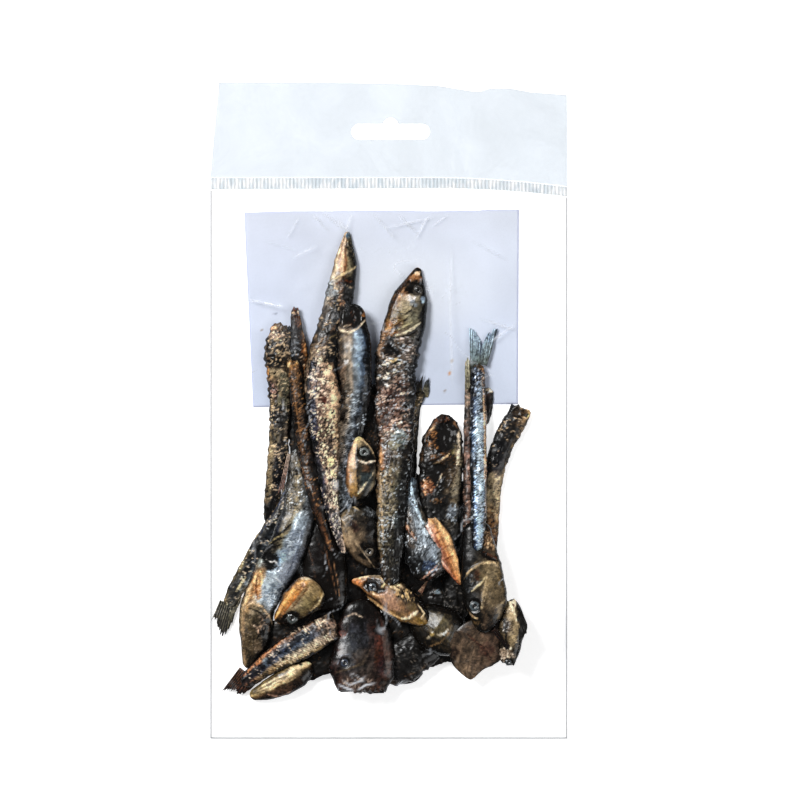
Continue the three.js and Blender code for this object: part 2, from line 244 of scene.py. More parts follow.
class Curve:
    """A smooth line in plan through given points, measured by its length."""

    def __init__(self, points: tuple[Point, ...]) -> None:
        """Runs the line through the points.

        Args:
            points: The points, mm.
        """
        given = np.array(points, dtype=float)
        ends = np.vstack([2 * given[0] - given[1], given, 2 * given[-1] - given[-2]])
        share = np.linspace(0, 1, 40, endpoint=False)[:, None]
        runs = []
        for before, start, stop, after in zip(ends, ends[1:], ends[2:], ends[3:]):
            leave, arrive = (stop - before) / 2, (after - start) / 2
            bend = 2 * start - 2 * stop + leave + arrive
            turn = -3 * start + 3 * stop - 2 * leave - arrive
            runs.append(start + leave * share + turn * share**2 + bend * share**3)
        self.path = np.vstack([*runs, given[-1:]])
        self.lengths = np.concatenate([[0], np.cumsum(np.hypot(*np.diff(self.path, axis=0).T))])

    @property
    def length(self) -> float:
        """The line's length, mm."""
        return float(self.lengths[-1])

    def at(self, distance: np.ndarray) -> tuple[np.ndarray, np.ndarray]:
        """Places on the line.

        Args:
            distance: How far along, mm.

        Returns:
            The points, and the unit directions of travel there.
        """
        point = np.stack([np.interp(distance, self.lengths, self.path[:, k]) for k in (0, 1)], axis=-1)
        ahead = np.stack([np.interp(distance + 0.5, self.lengths, self.path[:, k]) for k in (0, 1)], axis=-1)
        behind = np.stack([np.interp(distance - 0.5, self.lengths, self.path[:, k]) for k in (0, 1)], axis=-1)
        step = ahead - behind
        return point, step / np.maximum(np.hypot(step[..., 0], step[..., 1]), 1e-9)[..., None]


@dataclass
class Canvas:
    """The surface of one fish while it is painted: where each place is, its colour and relief."""

    x: np.ndarray
    y: np.ndarray
    s: np.ndarray
    across: np.ndarray
    top: np.ndarray
    colour: np.ndarray
    relief: np.ndarray
    seed: int

    def lay(self, mask: np.ndarray, colour: np.ndarray) -> None:
        """Lays an sRGB colour over the surface, as much as the mask says."""
        self.colour += (colour - self.colour) * mask[..., None]

    def raise_by(self, mask: np.ndarray, height: float) -> None:
        """Raises the upper side by a height in mm, or sinks it, as much as the mask says."""
        self.relief += height * mask * np.sqrt(self.top)

    def turned(self, x: float, y: float, turn: float) -> tuple[np.ndarray, np.ndarray]:
        """Coordinates about a point.

        Args:
            x: The point, mm.
            y: The point, mm.
            turn: Turn of the axes, degrees anticlockwise in plan.

        Returns:
            Each place's two coordinates from the point, mm.
        """
        angle = math.radians(turn)
        dx, dy = self.x - x, self.y - y
        return dx * math.cos(angle) + dy * math.sin(angle), dy * math.cos(angle) - dx * math.sin(angle)

    def inside(self, x: float, y: float, rx: float, ry: float, turn: float, ragged: float) -> np.ndarray:
        """A mask of an oval with an uneven border.

        Args:
            x: Its middle, mm.
            y: Its middle, mm.
            rx: Half its width, mm.
            ry: Half its height, mm.
            turn: Degrees anticlockwise in plan.
            ragged: How uneven its border is.

        Returns:
            1 inside to 0 outside, on the upper side only.
        """
        u, v = self.turned(x, y, turn)
        reach = np.hypot(u / rx, v / ry) + ragged * noise(self.x / 1.1, self.y / 1.1, self.seed + 5, 2)
        return smooth(1.28, 0.7, reach) * smooth(0.0, 0.12, self.top)


@dataclass(frozen=True)
class Blot:
    """A patch of another colour, which may stand up or be a hole."""

    x: float
    y: float
    rx: float
    ry: float
    colour: str
    turn: float = 0
    height: float = 0
    amount: float = 1
    ragged: float = 0.35

    def paint(self, canvas: Canvas) -> None:
        """Paints the patch.

        Args:
            canvas: The surface.
        """
        mask = canvas.inside(self.x, self.y, self.rx, self.ry, self.turn, self.ragged)
        worn = np.clip(0.85 + 0.4 * noise(canvas.x / 0.7, canvas.y / 0.7, canvas.seed + 8, 2), 0, 1)
        canvas.lay(self.amount * mask * worn, srgb(self.colour))
        if self.height:
            canvas.raise_by(mask, self.height)


@dataclass(frozen=True)
class Line:
    """A fold, crease or bone edge."""

    points: tuple[Point, ...]
    width: float
    colour: str
    height: float = 0
    amount: float = 1

    def paint(self, canvas: Canvas) -> None:
        """Paints the line.

        Args:
            canvas: The surface.
        """
        far, share = distance_to(self.points, canvas.x, canvas.y)
        far = far + 0.16 * noise(canvas.x / 0.9, canvas.y / 0.9, canvas.seed + 6, 2)
        half = self.width / 2 * (0.35 + 0.65 * smooth(0, 0.2, share) * smooth(1, 0.75, share))
        mask = smooth(half + 0.3, half - 0.12, far) * smooth(0.0, 0.1, canvas.top)
        worn = np.clip(0.85 + 0.5 * noise(canvas.x / 0.8, canvas.y / 0.8, canvas.seed + 9, 2), 0, 1)
        canvas.lay(self.amount * mask * worn, srgb(self.colour))
        if self.height:
            canvas.raise_by(mask, self.height)


@dataclass(frozen=True)
class Crumb:
    """A patch where the skin has broken up to flakes."""

    x: float
    y: float
    rx: float
    ry: float
    light: str
    dark: str
    size: float = 1.0
    height: float = 0.5
    turn: float = 0
    amount: float = 1
    across: float = 1.0

    def paint(self, canvas: Canvas) -> None:
        """Paints the flakes.

        Args:
            canvas: The surface.
        """
        mask = canvas.inside(self.x, self.y, self.rx, self.ry, self.turn, 0.4)
        warp = 0.5 * noise(canvas.across / 1.3, canvas.s / 1.3, canvas.seed + 12, 2)
        u, v = canvas.across / (self.size * self.across) + warp, canvas.s / self.size - warp
        inner, name = cells(u, v, canvas.seed + 7)
        flake = smooth(0.03, 0.3, inner) * (0.1 + 0.9 * name**1.3)
        colour = srgb(self.dark) + (srgb(self.light) - srgb(self.dark)) * flake[..., None]
        canvas.lay(self.amount * mask, colour)
        canvas.raise_by(mask * (flake - 0.3), self.height)


@dataclass(frozen=True)
class Eye:
    """A dried eye: a socket in the skin, and a shrunken eyeball that is made as its own piece."""

    x: float
    y: float
    radius: float
    ring: str
    pupil: str
    rim: str

    def paint(self, canvas: Canvas) -> None:
        """Paints the socket.

        Args:
            canvas: The surface.
        """
        far = np.hypot(canvas.x - self.x, canvas.y - self.y) / self.radius
        mask = smooth(1.25, 0.95, far) * smooth(0.0, 0.12, canvas.top)
        canvas.lay(mask, srgb(self.rim))
        canvas.raise_by(mask, -0.25 * self.radius)


Mark = Blot | Line | Crumb | Eye


def distance_to(points: tuple[Point, ...], x: np.ndarray, y: np.ndarray) -> tuple[np.ndarray, np.ndarray]:
    """How far places are from a line of straight runs, and how far along it is nearest.

    Args:
        points: The line's points, mm.
        x: The places, mm.
        y: The places, mm.

    Returns:
        The distances, mm, and the shares along the line, 0 to 1.
    """
    nearest, along = np.full(x.shape, np.inf), np.zeros(x.shape)
    for k, ((ax, ay), (bx, by)) in enumerate(zip(points, points[1:])):
        run = max((bx - ax) ** 2 + (by - ay) ** 2, 1e-9)
        share = np.clip(((x - ax) * (bx - ax) + (y - ay) * (by - ay)) / run, 0, 1)
        far = np.hypot(x - ax - share * (bx - ax), y - ay - share * (by - ay))
        along = np.where(far < nearest, (k + share) / (len(points) - 1), along)
        nearest = np.minimum(nearest, far)
    return nearest, along


@dataclass(frozen=True)
class Scales:
    """The scale rows of a skin: how they run, how far apart, and how strongly they show."""

    rows: Rows = Rows.NONE
    pitch: float = 1.0
    strength: float = 0.0


@dataclass(frozen=True)
class Fish:
    """A dried fish, or a piece of one: where it lies, its form, its colours and its marks."""

    name: str
    flat: float
    wide: tuple[float, ...]
    spine: tuple[Point, ...]
    bands: Skin
    # The colour of the painted highlights, and how strongly glints, cracks and lumps show.
    speck: tuple[str, float]
    marks: tuple[Mark, ...] = ()
    ends: tuple[End, End] = (End.ROUND, End.ROUND)
    scales: Scales = Scales()
    torn_edge: float = 0.0
    bony: float = 0.0
    tone: float = 1.0

    def width_at(self, share: np.ndarray) -> np.ndarray:
        """The fish's width, mm, at shares of its length."""
        return np.interp(share, np.linspace(0, 1, len(self.wide)), self.wide)


@dataclass(frozen=True)
class Fin:
    """A fin or a loose thin blade, between a line at its base and a line at its tips."""

    name: str
    of: str
    base: tuple[Point, ...]
    tip: tuple[Point, ...]
    base_colour: str
    tip_colour: str
    kind: FinKind
    rays: int
    ragged: float


def fish(
    name: str,
    flat: float,
    wide: tuple[float, ...],
    spine: tuple[Point, ...],
    bands: Skin,
    *marks: Mark,
    **more: object,
) -> Fish:
    """Writes down a fish.

    Args:
        name: Its name.
        flat: Its thickness as a share of its width.
        wide: Its widths at even steps along it, mm.
        spine: Its middle line in plan, mm.
        bands: Its colours.
        marks: What shows on it.
        more: The rest of what a Fish holds.

    Returns:
        The fish.
    """
    return Fish(name, flat, wide, spine, bands, marks=marks, **more)


def under(name: str, bands: Skin, wide: tuple[float, ...], spine: tuple[Point, ...], *marks: Mark) -> Fish:
    """Writes down a flat dark piece of the layer that fills the gaps under the others; its near-black colour
    is partly painted shade, deep in the gaps.

    Args:
        name: Which gap it fills.
        bands: Its colours.
        wide: Its widths at even steps along it, mm.
        spine: Its middle line in plan, mm.
        marks: What shows on it.

    Returns:
        The piece.
    """
    return fish(f"under_{name}", 0.16, wide, spine, bands, *marks, speck=("#8a6434", 0.22), torn_edge=0.2)


CARD_CORNERS = ((-51.7, 1.3), (49.2, 2.5), (49.6, 76.4), (-55.1, 75.6))
CARD_COLOURS = ("#cfd9ee", "#cdd6e8", "#d6dbe6", "#d9deeb")
CARD_LIGHT = "#e2e7f0"
CARD_EDGE = "#bfc5e4"
CARD_SPECKS = (
    (23.1, 14.3, 0.4, "#c98a50"),
    (21.1, 7.4, 0.2, "#8a7a70"),
    (-43.3, 36.8, 0.3, "#9aa0b4"),
    (-44.9, 28, 0.3, "#a8a0a8"),
    (-48.3, 30.7, 0.2, "#9a8a80"),
    (24.1, 18.9, 0.2, "#b0a090"),
)

# Creases of the front film: where they run, how wide they are, and how strong the painted highlight along
# each is.
FILM_CREASES: tuple[tuple[tuple[Point, ...], float, float], ...] = (
    (((-29.6, 75.2), (-22.4, 68)), 0.4, 0.35),
    (((-25.4, 75.6), (-16.3, 68.4)), 0.4, 0.4),
    (((-20.5, 74.1), (-14, 66.1)), 0.4, 0.3),
    (((-14, 74.9), (-16.7, 68)), 0.4, 0.35),
    (((-6.4, 75.6), (2.8, 65)), 0.4, 0.4),
    (((2.4, 75.6), (12.3, 66.1)), 0.4, 0.35),
    (((15.7, 75.2), (9.6, 64.6)), 0.4, 0.35),
    (((23.3, 74.9), (16.1, 69.9)), 0.4, 0.3),
    (((-3.3, 69.2), (19.9, 74.1)), 0.4, 0.3),
    (((-54.8, 42.5), (-39.5, 39.1)), 0.4, 0.4),
    (((24.1, 65), (23.3, 42.1), (24.5, 2.5)), 0.5, 0.25),
    (((34, 35.2), (49.2, 30.3)), 0.5, 0.3),
    (((37.1, 25), (49.6, 33.7)), 0.5, 0.3),
    (((-33.8, 74.1), (-39.1, 65)), 0.4, 0.25),
    (((-48.3, 65), (-33.8, 60.4)), 0.4, 0.15),
    (((31, 65), (46.2, 56.6)), 0.4, 0.2),
    (((-37.6, 57.3), (-26.2, 63.4)), 0.4, 0.2),
    (((-19.7, -103.8), (-16.3, -105.3), (-12.5, -106.5)), 0.25, 0.8),
    (((-12.5, -106.5), (-8.7, -104.2), (-4.5, -103.4)), 0.25, 0.8),
    (((-18.2, -101.9), (-14.8, -104.2), (-11, -102.7), (-7.9, -100)), 0.25, 0.5),
    (((-19.3, -105), (-19.3, -106.9)), 0.3, 0.7),
)

# Colours of the layer under the heap: near-black, partly the dark fish beneath and partly painted shade deep
# in the gaps.
DARK_LAYER = skin(
    "0: #140f0b, -0.4 #3a2616, 0.2 #4e341e, 0.6 #2c1d12, #110d0a",
    "1: #150f0b, -0.3 #452e1a, 0.3 #33241a, #110d0a",
)
COOL_LAYER = skin(
    "0: #11100e, -0.3 #2a2824, 0.3 #3e3a30, #11100e", "1: #13110e, 0 #352f26, #110f0d",
)
PLUM_LAYER = skin(
    "0: #1c110d, -0.3 #46291a, 0.3 #553224, #1a110e", "1: #1a100c, 0 #4e2e20, #1a110d",
)

# Many skins run to near-black at one edge: partly the fish's dark backs, and partly painted shade on the side
# away from the light, which falls from the upper left.
FISH: tuple[Fish, ...] = (
    under("left_top", COOL_LAYER, (4.6, 7.6, 7.6, 4.6),
        ((-36.5, 14.7), (-35.3, 2.1), (-34.2, -13.1), (-33.8, -26.5))),
    under("top", COOL_LAYER, (6.1, 11.4, 13, 9.1),
        ((-22.8, 22.3), (-21.6, 9.7), (-19.3, -7.4), (-17.4, -22.7))),
    under("middle", DARK_LAYER, (9.1, 16, 17.5, 16.8, 13),
        ((-6.4, 10.1), (-7.9, -7.4), (-9.4, -26.5), (-10.2, -47.4), (-11, -72.2)),
        Line(((-12, -57.5), (-14, -67.5), (-16, -77)), 0.5, "#b88050"),
    ),
    under("low", PLUM_LAYER, (9.9, 16.8, 19.1, 13.7),
        ((-20.1, -39.8), (-20.1, -55.1), (-17.8, -72.2), (-14.8, -87.4))),
    under("centre", DARK_LAYER, (9.1, 17.5, 21.3, 18.3),
        ((7.3, -22.7), (8.1, -45.5), (8.9, -64.6), (11.9, -83.6))),
    under("lap", DARK_LAYER, (9.9, 16.8, 19.1, 15.2),
        ((22.6, -49.3), (24.1, -62.7), (23.3, -76), (19.5, -89.3)),
        Blot(18.5, -69, 1.5, 1.5, "#a0bccc", height=0.3),
    ),
    under("right", PLUM_LAYER, (5.3, 7.6, 9.9, 13.7, 9.9),
        ((37.1, -39.8), (37.1, -53.1), (37.8, -66.5), (41.2, -80.6), (40.1, -92))),
    under("bottom", DARK_LAYER, (13, 19.1, 19.1, 11.4),
        ((1.2, -74.5), (5, -85.5), (5.8, -95.1), (5, -104.2))),
    under("foot", DARK_LAYER, (9.1, 13.7, 13, 9.1),
        ((4.3, -97.3), (13.8, -91.6), (25.2, -88.2), (39.3, -85.9))),
    under("left_mid", DARK_LAYER, (9.1, 19.1, 19.1, 13),
        ((-38.8, -52.4), (-33.1, -64.6), (-26.2, -76.8), (-16.7, -88.2)),
        Line(((-27, -67.5), (-24, -72), (-21, -79)), 0.5, "#8a7a54"),
        Line(((-25.5, -64.5), (-22, -69), (-19.5, -73.5)), 0.4, "#6e5a3c"),
    ),
    under("left_low", DARK_LAYER, (9.9, 17.5, 17.5, 11.4),
        ((-48.3, -93.2), (-39.9, -87.4), (-31.5, -82.9), (-21.6, -79.8))),
    under("left_foot", DARK_LAYER, (6.1, 9.9, 12.2, 10.7),
        ((-39.9, -104.2), (-31.5, -98.5), (-22.4, -93.2), (-14, -89.3))),
    fish(
        "left_body", 0.6, (7.6, 11, 8.8, 8, 7.6, 7.2, 5.7, 2.7),
        ((-40.1, 32.6), (-42, 25), (-41.8, 14.7), (-41.4, 2.1), (-41.8, -11.2), (-43.1, -23.8), (-44.7, -36),
        (-45.4, -49.3)),
        skin(
            "0: #6a4c30, 0 #7a6448, #2e2018", "0.45: #8a7a54, 0 #6e6c56, #3a2c20",
            "0.7: #7a6f50, -0.5 #59523c, 0.1 #1c1c34, 0.6 #3a3a3a, #3f3c2a", "1: #4a3826, #2e2018",
        ),
        Crumb(-42, 24.5, 5.5, 5.5, "#c8b898", "#1e1a18", size=0.95, height=0.8),
        Blot(-45, 31.5, 2, 0.8, "#e8b890", height=0.3),
        Crumb(-43, 29, 3.5, 1.5, "#f0e4d4", "#6a4a34", height=0.4),
        Crumb(-42.5, 18.5, 4.5, 2.5, "#5c4127", "#14110f"), Blot(-43, 14.5, 4, 1.5, "#9a9478", amount=0.9),
        Blot(-46.5, 14.5, 1, 2, "#c98a3a"), Crumb(-44.5, 8, 2.5, 3.5, "#b08a86", "#2e2018", height=0.6),
        Blot(-39.5, 9.5, 2.5, 4, "#66705f", amount=0.85), Blot(-40, 2, 2.5, 4, "#727c6a", amount=0.8),
        Crumb(-42, -3, 4, 5, "#7d7f80", "#14110f"), Blot(-41, -22.5, 2, 9, "#20223c", amount=0.9),
        Blot(-45.5, -22.5, 1.1, 12, "#857a5a", amount=0.8), Blot(-47, -42.5, 1.5, 7, "#2e2018"),
        ends=(End.TORN, End.ROUND), speck=("#d9c8a4", 0.35), torn_edge=0.35, tone=1.1,
    ),
    fish(
        "left_strip", 0.5, (2.7, 4.6, 6.5, 6.9, 5.3),
        ((-35.9, 39.4), (-35, 30.7), (-34.2, 23.1), (-33.6, 14.7), (-33.1, 8.6)),
        skin(
            "0: #2e2018, 0 #8a4a24, #6a3418",
            "0.3: #241c1c, -0.35 #3c3a40, 0 #3a2418, 0.35 #74401f, 0.8 #96642c, #5a2a12",
            "1: #20242a, -0.1 #23262e, 0.2 #2e2018, 0.5 #9a5518, #8a5a20",
        ),
        Blot(-35, 39, 1.5, 1.3, "#a83418", height=0.4), Blot(-34, 37.5, 1.1, 0.6, "#efe6d2"),
        Blot(-36.5, 37, 1.1, 0.6, "#d9c8a4"), Blot(-36, 33.5, 1.3, 2, "#6a4c3c", amount=0.8),
        Line(((-37.5, 22.5), (-35.5, 24), (-33.5, 23)), 0.4, "#aab4be"),
        Line(((-37.5, 20.5), (-35.5, 21.5), (-34, 21)), 0.4, "#9aa4b2"),
        Line(((-37.5, 25), (-35.5, 26), (-34, 25.5)), 0.4, "#8a949e"),
        ends=(End.TORN, End.ROUND), scales=Scales(Rows.CHEVRON, 1.3, 0.4), speck=("#efe6d2", 0.25),
    ),
    fish(
        "right_body", 0.6, (8, 9.1, 8.4, 7.6, 7.2, 6.9, 6.1),
        ((50.4, 1.7), (48.9, -2.5), (44.3, -10.9), (40.3, -22.7), (38.6, -37.9), (38.2, -55.4)),
        skin(
            "0: #1e1a18, -0.2 #4a3a26, 0.5 #6e5430, #c9a86c",
            "0.35: #14110f, 0 #26263a, 0.7 #3a342c, #8a7850", "0.6: #3f3c2a, -0.2 #9d967a, #b8ac88",
            "0.85: #2e2018, 0 #7a4a20, #8a6a40", "1: #2e2018, #5c4127",
        ),
        Blot(50, 0, 3.5, 1.5, "#5a4428", turn=25, height=-0.4), Blot(39.5, -26.5, 1.5, 3, "#b0a684"),
        Blot(39.5, -49.5, 2.5, 3, "#94541c"),
        Line(((36.5, -57), (40.5, -55.5), (42.5, -57.5)), 0.6, "#d8d0a8", height=0.3),
        ends=(End.TORN, End.ROUND), speck=("#d9c8a4", 0.3), tone=1.05,
    ),
    fish(
        "fin_behind", 0.6, (7.6, 6.9, 5.3, 4.6, 3.8),
        ((5, -36), (7.3, -22.7), (8.7, -9.3), (10, 1), (12.7, 7.4)),
        skin("0: #2e2018, #3f3c2a", "1: #3a3422, 0 #6f6644, #4a4430"),
        speck=("#efe6d2", 0.25),
    ),
    fish(
        "small_tail", 0.5, (2.3, 4.6, 5, 3.4),
        ((36.7, -5.5), (37.2, 1), (38, 8.6)),
        skin("0: #2e2018, #5a4440", "1: #3a2c30, 0 #5c4a48, #3a2c30"),
        Blot(38.5, 8, 2, 0.8, "#efe6d2"), Line(((36.5, 5.5), (38.5, 7.5), (40, 8)), 0.4, "#b9c6d2"),
        speck=("#efe6d2", 0.25),
    ),
    fish(
        "dark_body", 0.5, (8.4, 12.2, 13, 9.9),
        ((26.4, -26.5), (27.1, -45.5), (27.1, -62.7), (24.9, -79.8)),
        skin("0: #2e2018, 0 #2a2620, #1e1a18", "1: #1e1a18, 0 #2e2418, #14110f"),
        # The white dot is a painted glint.
        Blot(25.5, -53.5, 1.1, 1.1, "#eef2f4", height=0.3),
        Crumb(24, -43.5, 2.5, 4, "#8aa0b4", "#1e1a18", size=0.9, height=0.3, amount=0.8),
        speck=("#7d7f80", 0.3),
    ),
    fish(
        "brown_edge", 1.25, (3.8, 4.6, 4.2, 3.4, 2.3),
        ((30.2, -57), (30.4, -26.5), (30.4, 4), (30.2, 19.2)),
        skin(
            "0: #2e2018, 0 #7c6258, #3a2c26", "0.6: #3f2f30, 0 #937670, #544240", "1: #7a7a66, #8a9080",
        ),
        speck=("#c8a898", 0.4),
    ),
    fish(
        "shadow_body", 0.45, (10.7, 16, 17.5, 13.7),
        ((-29, -30.5), (-25.4, -49.5), (-23.9, -64.6), (-22.4, -76.8)),
        skin("0: #14110f, 0 #2e1c14, #2e2018", "1: #2e2018, 0 #40291a, #14110f"),
        Blot(-27, -54, 2.5, 4.5, "#3c1c1a", amount=0.8),
        Line(((-31.5, -49.5), (-29, -57), (-27.5, -66.5)), 0.4, "#6a4a34"),
        Line(((-24.5, -51), (-21.5, -62.5), (-19.5, -72)), 0.4, "#8a5c38"),
        Line(((-27.5, -48), (-24.5, -56), (-23, -64.5)), 0.4, "#5c3c2a"),
        Line(((-21, -57.5), (-19.5, -64.5), (-18.5, -72)), 0.4, "#a87a50"),
        speck=("#5c4127", 0.2), bony=1,
    ),
    fish(
        "left_tail_fish", 0.5, (3.8, 5.7, 7.2, 7.6, 6.9, 5),
        ((-35, -22.3), (-40.1, -37.5), (-47.3, -49.9), (-53.4, -60.4), (-58.6, -69.2), (-61.2, -74.9)),
        skin(
            "0: #7a7050, 0 #3f3c2a, #5a5844",
            "0.4: #8a7d54, -0.6 #3a3626, -0.1 #2c3440, 0.4 #4e5860, 0.75 #24386a, #6a6248",
            "0.75: #a09058, -0.6 #3f3c2a, -0.1 #343c44, 0.4 #5c666e, #8a8a7c",
            "1: #6a6040, 0 #3c4040, #7a7c70",
        ),
        Line(((-37, -25.5), (-42.5, -37), (-48.5, -46.5), (-53, -52.5)), 0.6, "#23386e"),
        Line(((-54.5, -63.5), (-56.5, -66.5), (-58, -69)), 0.8, "#c8c49a"),
        Blot(-53, -65.5, 2.5, 1.1, "#d8e6f2", turn=35, amount=0.7),
        scales=Scales(Rows.DIAGONAL, 1.1, 0.25), speck=("#efe6d2", 0.25), tone=1.06,
    ),
    fish(
        "tall_head_fish", 0.6, (1.9, 8.4, 10.7, 11, 12.6, 14.1, 11.4),
        ((-15.7, 68.2), (-16.5, 56.6), (-18.2, 45.9), (-20.7, 34.5), (-23.5, 23.1), (-25.4, 11.6),
        (-27.3, 2.5)),
        skin(
            "0: #cdb48c, -0.75 #ece0c6, -0.5 #9c7048, -0.25 #f0e6d0, 0 #96502c, 0.15 #e6d8b4, "
            "0.35 #77755a, 0.7 #7a785e, #1e1a18",
            "0.2: #c8b490, -0.75 #eadfc4, -0.45 #a87850, -0.2 #dccca8, 0.05 #8a4a20, 0.2 #8a7f58, "
            "0.5 #8b8a6c, 0.8 #4a4632, #14110f",
            "0.32: #9aa4a6, -0.4 #a8a8a0, 0 #6a4a34, 0.3 #2e2018, 0.6 #14110f, #14110f",
            "0.5: #6a5f50, -0.6 #4a3c2c, -0.1 #5e3c1e, 0.3 #2c2a28, #1c2426",
            "0.8: #a08c70, -0.5 #75634e, 0 #32241b, #1a1c20", "1: #8a7a6a, #1e1a18",
        ),
        Blot(-15.5, 66.5, 0.8, 1.3, "#2a6a9c", ragged=0.1),
        Crumb(-14, 62, 2, 4, "#96927a", "#262219", height=0.3, amount=0.85),
        Line(((-21, 49.5), (-18, 51.5), (-15, 53), (-11.5, 55.5)), 0.7, "#dccf9e", height=0.4),
        Line(((-20.5, 48), (-16.5, 49.5), (-13, 48.5)), 0.8, "#8a3d14"),
        Crumb(-21, 45.5, 3, 3.5, "#e4e8ea", "#55504a", size=1.6, height=0.8),
        Blot(-22, 45.5, 2.5, 2.5, "#a8b4bc", amount=0.6),
        Line(((-16.5, 48), (-14, 46.5), (-12.5, 48)), 0.5, "#e8dcc0", height=0.4),
        # Painted shadow along the right side of the head.
        Blot(-14, 42, 2, 5.5, "#14110f", amount=0.9),
        Crumb(-19.5, 41, 2.5, 2, "#e0a878", "#5a3a28", height=0.4),
        Crumb(-20, 33.5, 3, 6, "#b08a60", "#38261a", height=0.4, amount=0.7),
        Blot(-20.5, 37.5, 1.5, 5.5, "#26302f", turn=-8, amount=0.8),
        Crumb(-26, 21, 2.5, 6, "#efe6d2", "#5a4638", size=1.3, turn=-12),
        Crumb(-29, 12.5, 2.5, 4.5, "#e8d8cc", "#6a5048"),
        Blot(-22.5, 17.5, 2.5, 9, "#17181c", turn=-12, amount=0.9),
        Line(((-22.5, 27.5), (-19.5, 29), (-17, 30.5)), 0.6, "#8a8258"),
        speck=("#d9c8a4", 0.3), bony=0.28, tone=0.95,
    ),
    fish(
        "hollow_body", 0.55, (7.6, 12.6, 13, 12.2, 11.8, 10.3, 8.8, 5.3),
        ((-13.6, 40.6), (-13.4, 30.7), (-13, 18.5), (-13, 7), (-14.4, -4.4), (-16.1, -15.8), (-17, -28.4),
        (-16.7, -39.8)),
        skin(
            "0: #3a2c20, 0 #2e2018, 0.7 #2e2018, #14110f",
            "0.16: #4a4238, -0.6 #7b756b, -0.15 #94928c, 0.15 #8aa6c0, 0.45 #4a6688, 0.72 #1f2c40, #10141c",
            "0.5: #54493c, -0.75 #837c70, -0.2 #77756f, 0.1 #8e9aa4, 0.35 #3f4c5c, 0.65 #1c2430, #10141a",
            "0.8: #8a8070, -0.6 #a39a8c, -0.1 #7f8288, 0.4 #2c3444, #14161c",
            "1: #7a8490, 0 #8fa0b0, #3a4450",
        ),
        Blot(-14, 35.5, 3.5, 4, "#120b08", turn=-10, height=-2.4, ragged=0.1),
        Crumb(-14, 35, 2.5, 3.5, "#8a5438", "#160d0a", size=0.8, height=0.3, amount=0.8),
        Line(((-16.5, 39.5), (-13.5, 40.5), (-11.5, 38.5), (-10, 35)), 0.8, "#140e0c", height=0.3),
        Blot(-9, 37, 1.3, 1.3, "#e08a36", height=0.7), Blot(-8.5, 37.5, 0.6, 1.1, "#f0c890", height=0.5),
        Line(((-20, 32.5), (-18, 30.5), (-15, 29.5), (-12, 31), (-8.5, 35)), 0.7, "#efe4cc", height=0.6),
        Line(((-17, 32), (-15, 32.5)), 0.6, "#efe6d2"), Blot(-11.5, 25, 2, 5.5, "#bcd8f2", amount=0.7),
        Blot(-19, 24, 1.5, 6, "#5a4c3e", amount=0.6),
        Crumb(-18.5, 14.5, 2, 6, "#c89878", "#4a3a30", height=0.3, amount=0.5),
        Line(((-19.5, 26), (-17.5, 27.5), (-15.5, 28.5)), 0.5, "#8a7a58"),
        Blot(-18, -26, 1.5, 4.5, "#8298ae", amount=0.8),
        scales=Scales(Rows.DIAGONAL, 0.95, 0.55), speck=("#d8e6f2", 0.45), bony=0.4,
    ),
    fish(
        "open_belly", 0.45, (7.6, 15.2, 16.8, 16.4, 15.2, 13.7, 9.9),
        ((21.8, -2.1), (20.5, -12.8), (19.5, -26.5), (19.9, -41.3), (21.1, -55.1)),
        skin(
            "0: #6a4a30, 0 #2e2018, #4a4030",
            "0.25: #6a4f30, -0.8 #2e2018, 0.3 #1c140e, 0.5 #6e6a3c, 0.68 #b0aa90, 0.85 #4e5244, #2e2018",
            "0.6: #3a2a1c, -0.4 #14110f, 0.2 #4a3a26, 0.6 #6a604a, #4e5048",
            "1: #1e1a18, 0 #222220, #33363a",
        ),
        Blot(22, -9.5, 4.5, 5.5, "#0f0a07", turn=-16, height=-2.6, ragged=0.12),
        Line(((14.5, -13.5), (15.5, -9), (17.5, -5), (21, -3.5), (24.5, -4), (26.5, -6.5)),
            0.9, "#9a6c44", height=0.5),
        # A painted highlight along the left rim of the cavity.
        Line(((15, -12), (15.5, -8.5), (18, -5.5)), 0.5, "#ecd0a4", height=0.3),
        Line(((27, -7.5), (27, -14.5), (26, -22.5)), 0.6, "#dcd8c4", height=0.3),
        # The white dot is a painted glint.
        Blot(25, -53, 1.1, 1.1, "#eef2f4", height=0.3),
        Crumb(16, -11, 2, 5.5, "#d8944c", "#4a2c18", size=0.9, height=0.4, turn=8),
        Crumb(21, -3.5, 4.5, 1.1, "#c87848", "#2e1c14", size=0.8, height=0.3),
        Crumb(20.5, -18.5, 5.5, 2.5, "#b0702c", "#2a180c", turn=-18),
        Line(((16, -21), (20, -19), (23, -16.5)), 0.6, "#ecd4a4", height=0.6),
        Line(((13.5, -19.5), (18, -18), (24, -15)), 0.5, "#7a4c20", height=0.4),
        Blot(18.5, -24.5, 4.5, 4.5, "#0d0a08", height=-2.4, ragged=0.15),
        Crumb(14.5, -29, 2.5, 3.5, "#eab888", "#8a3a14", size=1.1),
        Line(((17.5, -29.5), (20.5, -24)), 0.4, "#d8d2c0", height=0.3),
        Blot(23.5, -23.5, 2.5, 5.5, "#5a4428", turn=-12),
        Blot(25.5, -29, 1.5, 6, "#94927e", turn=-14, amount=0.85),
        Line(((27, -8), (26.5, -15), (25.5, -22)), 0.5, "#d6d4c4", height=0.2),
        Crumb(24, -39, 2.5, 3, "#dceaf8", "#5a6470", height=0.4), Blot(18, -37.5, 4, 4, "#161614"),
        Crumb(18.5, -34, 3, 1.5, "#9a6a34", "#2e2018", size=0.8, height=0.3),
        ends=(End.TORN, End.ROUND), speck=("#7d7f80", 0.25),
    ),
    fish(
        "lower_head", 0.5, (5.3, 13.7, 17.5, 17.5, 13),
        ((-3.3, -60), (-7.1, -52.8), (-11, -45.5), (-15.1, -37.1)),
        skin(
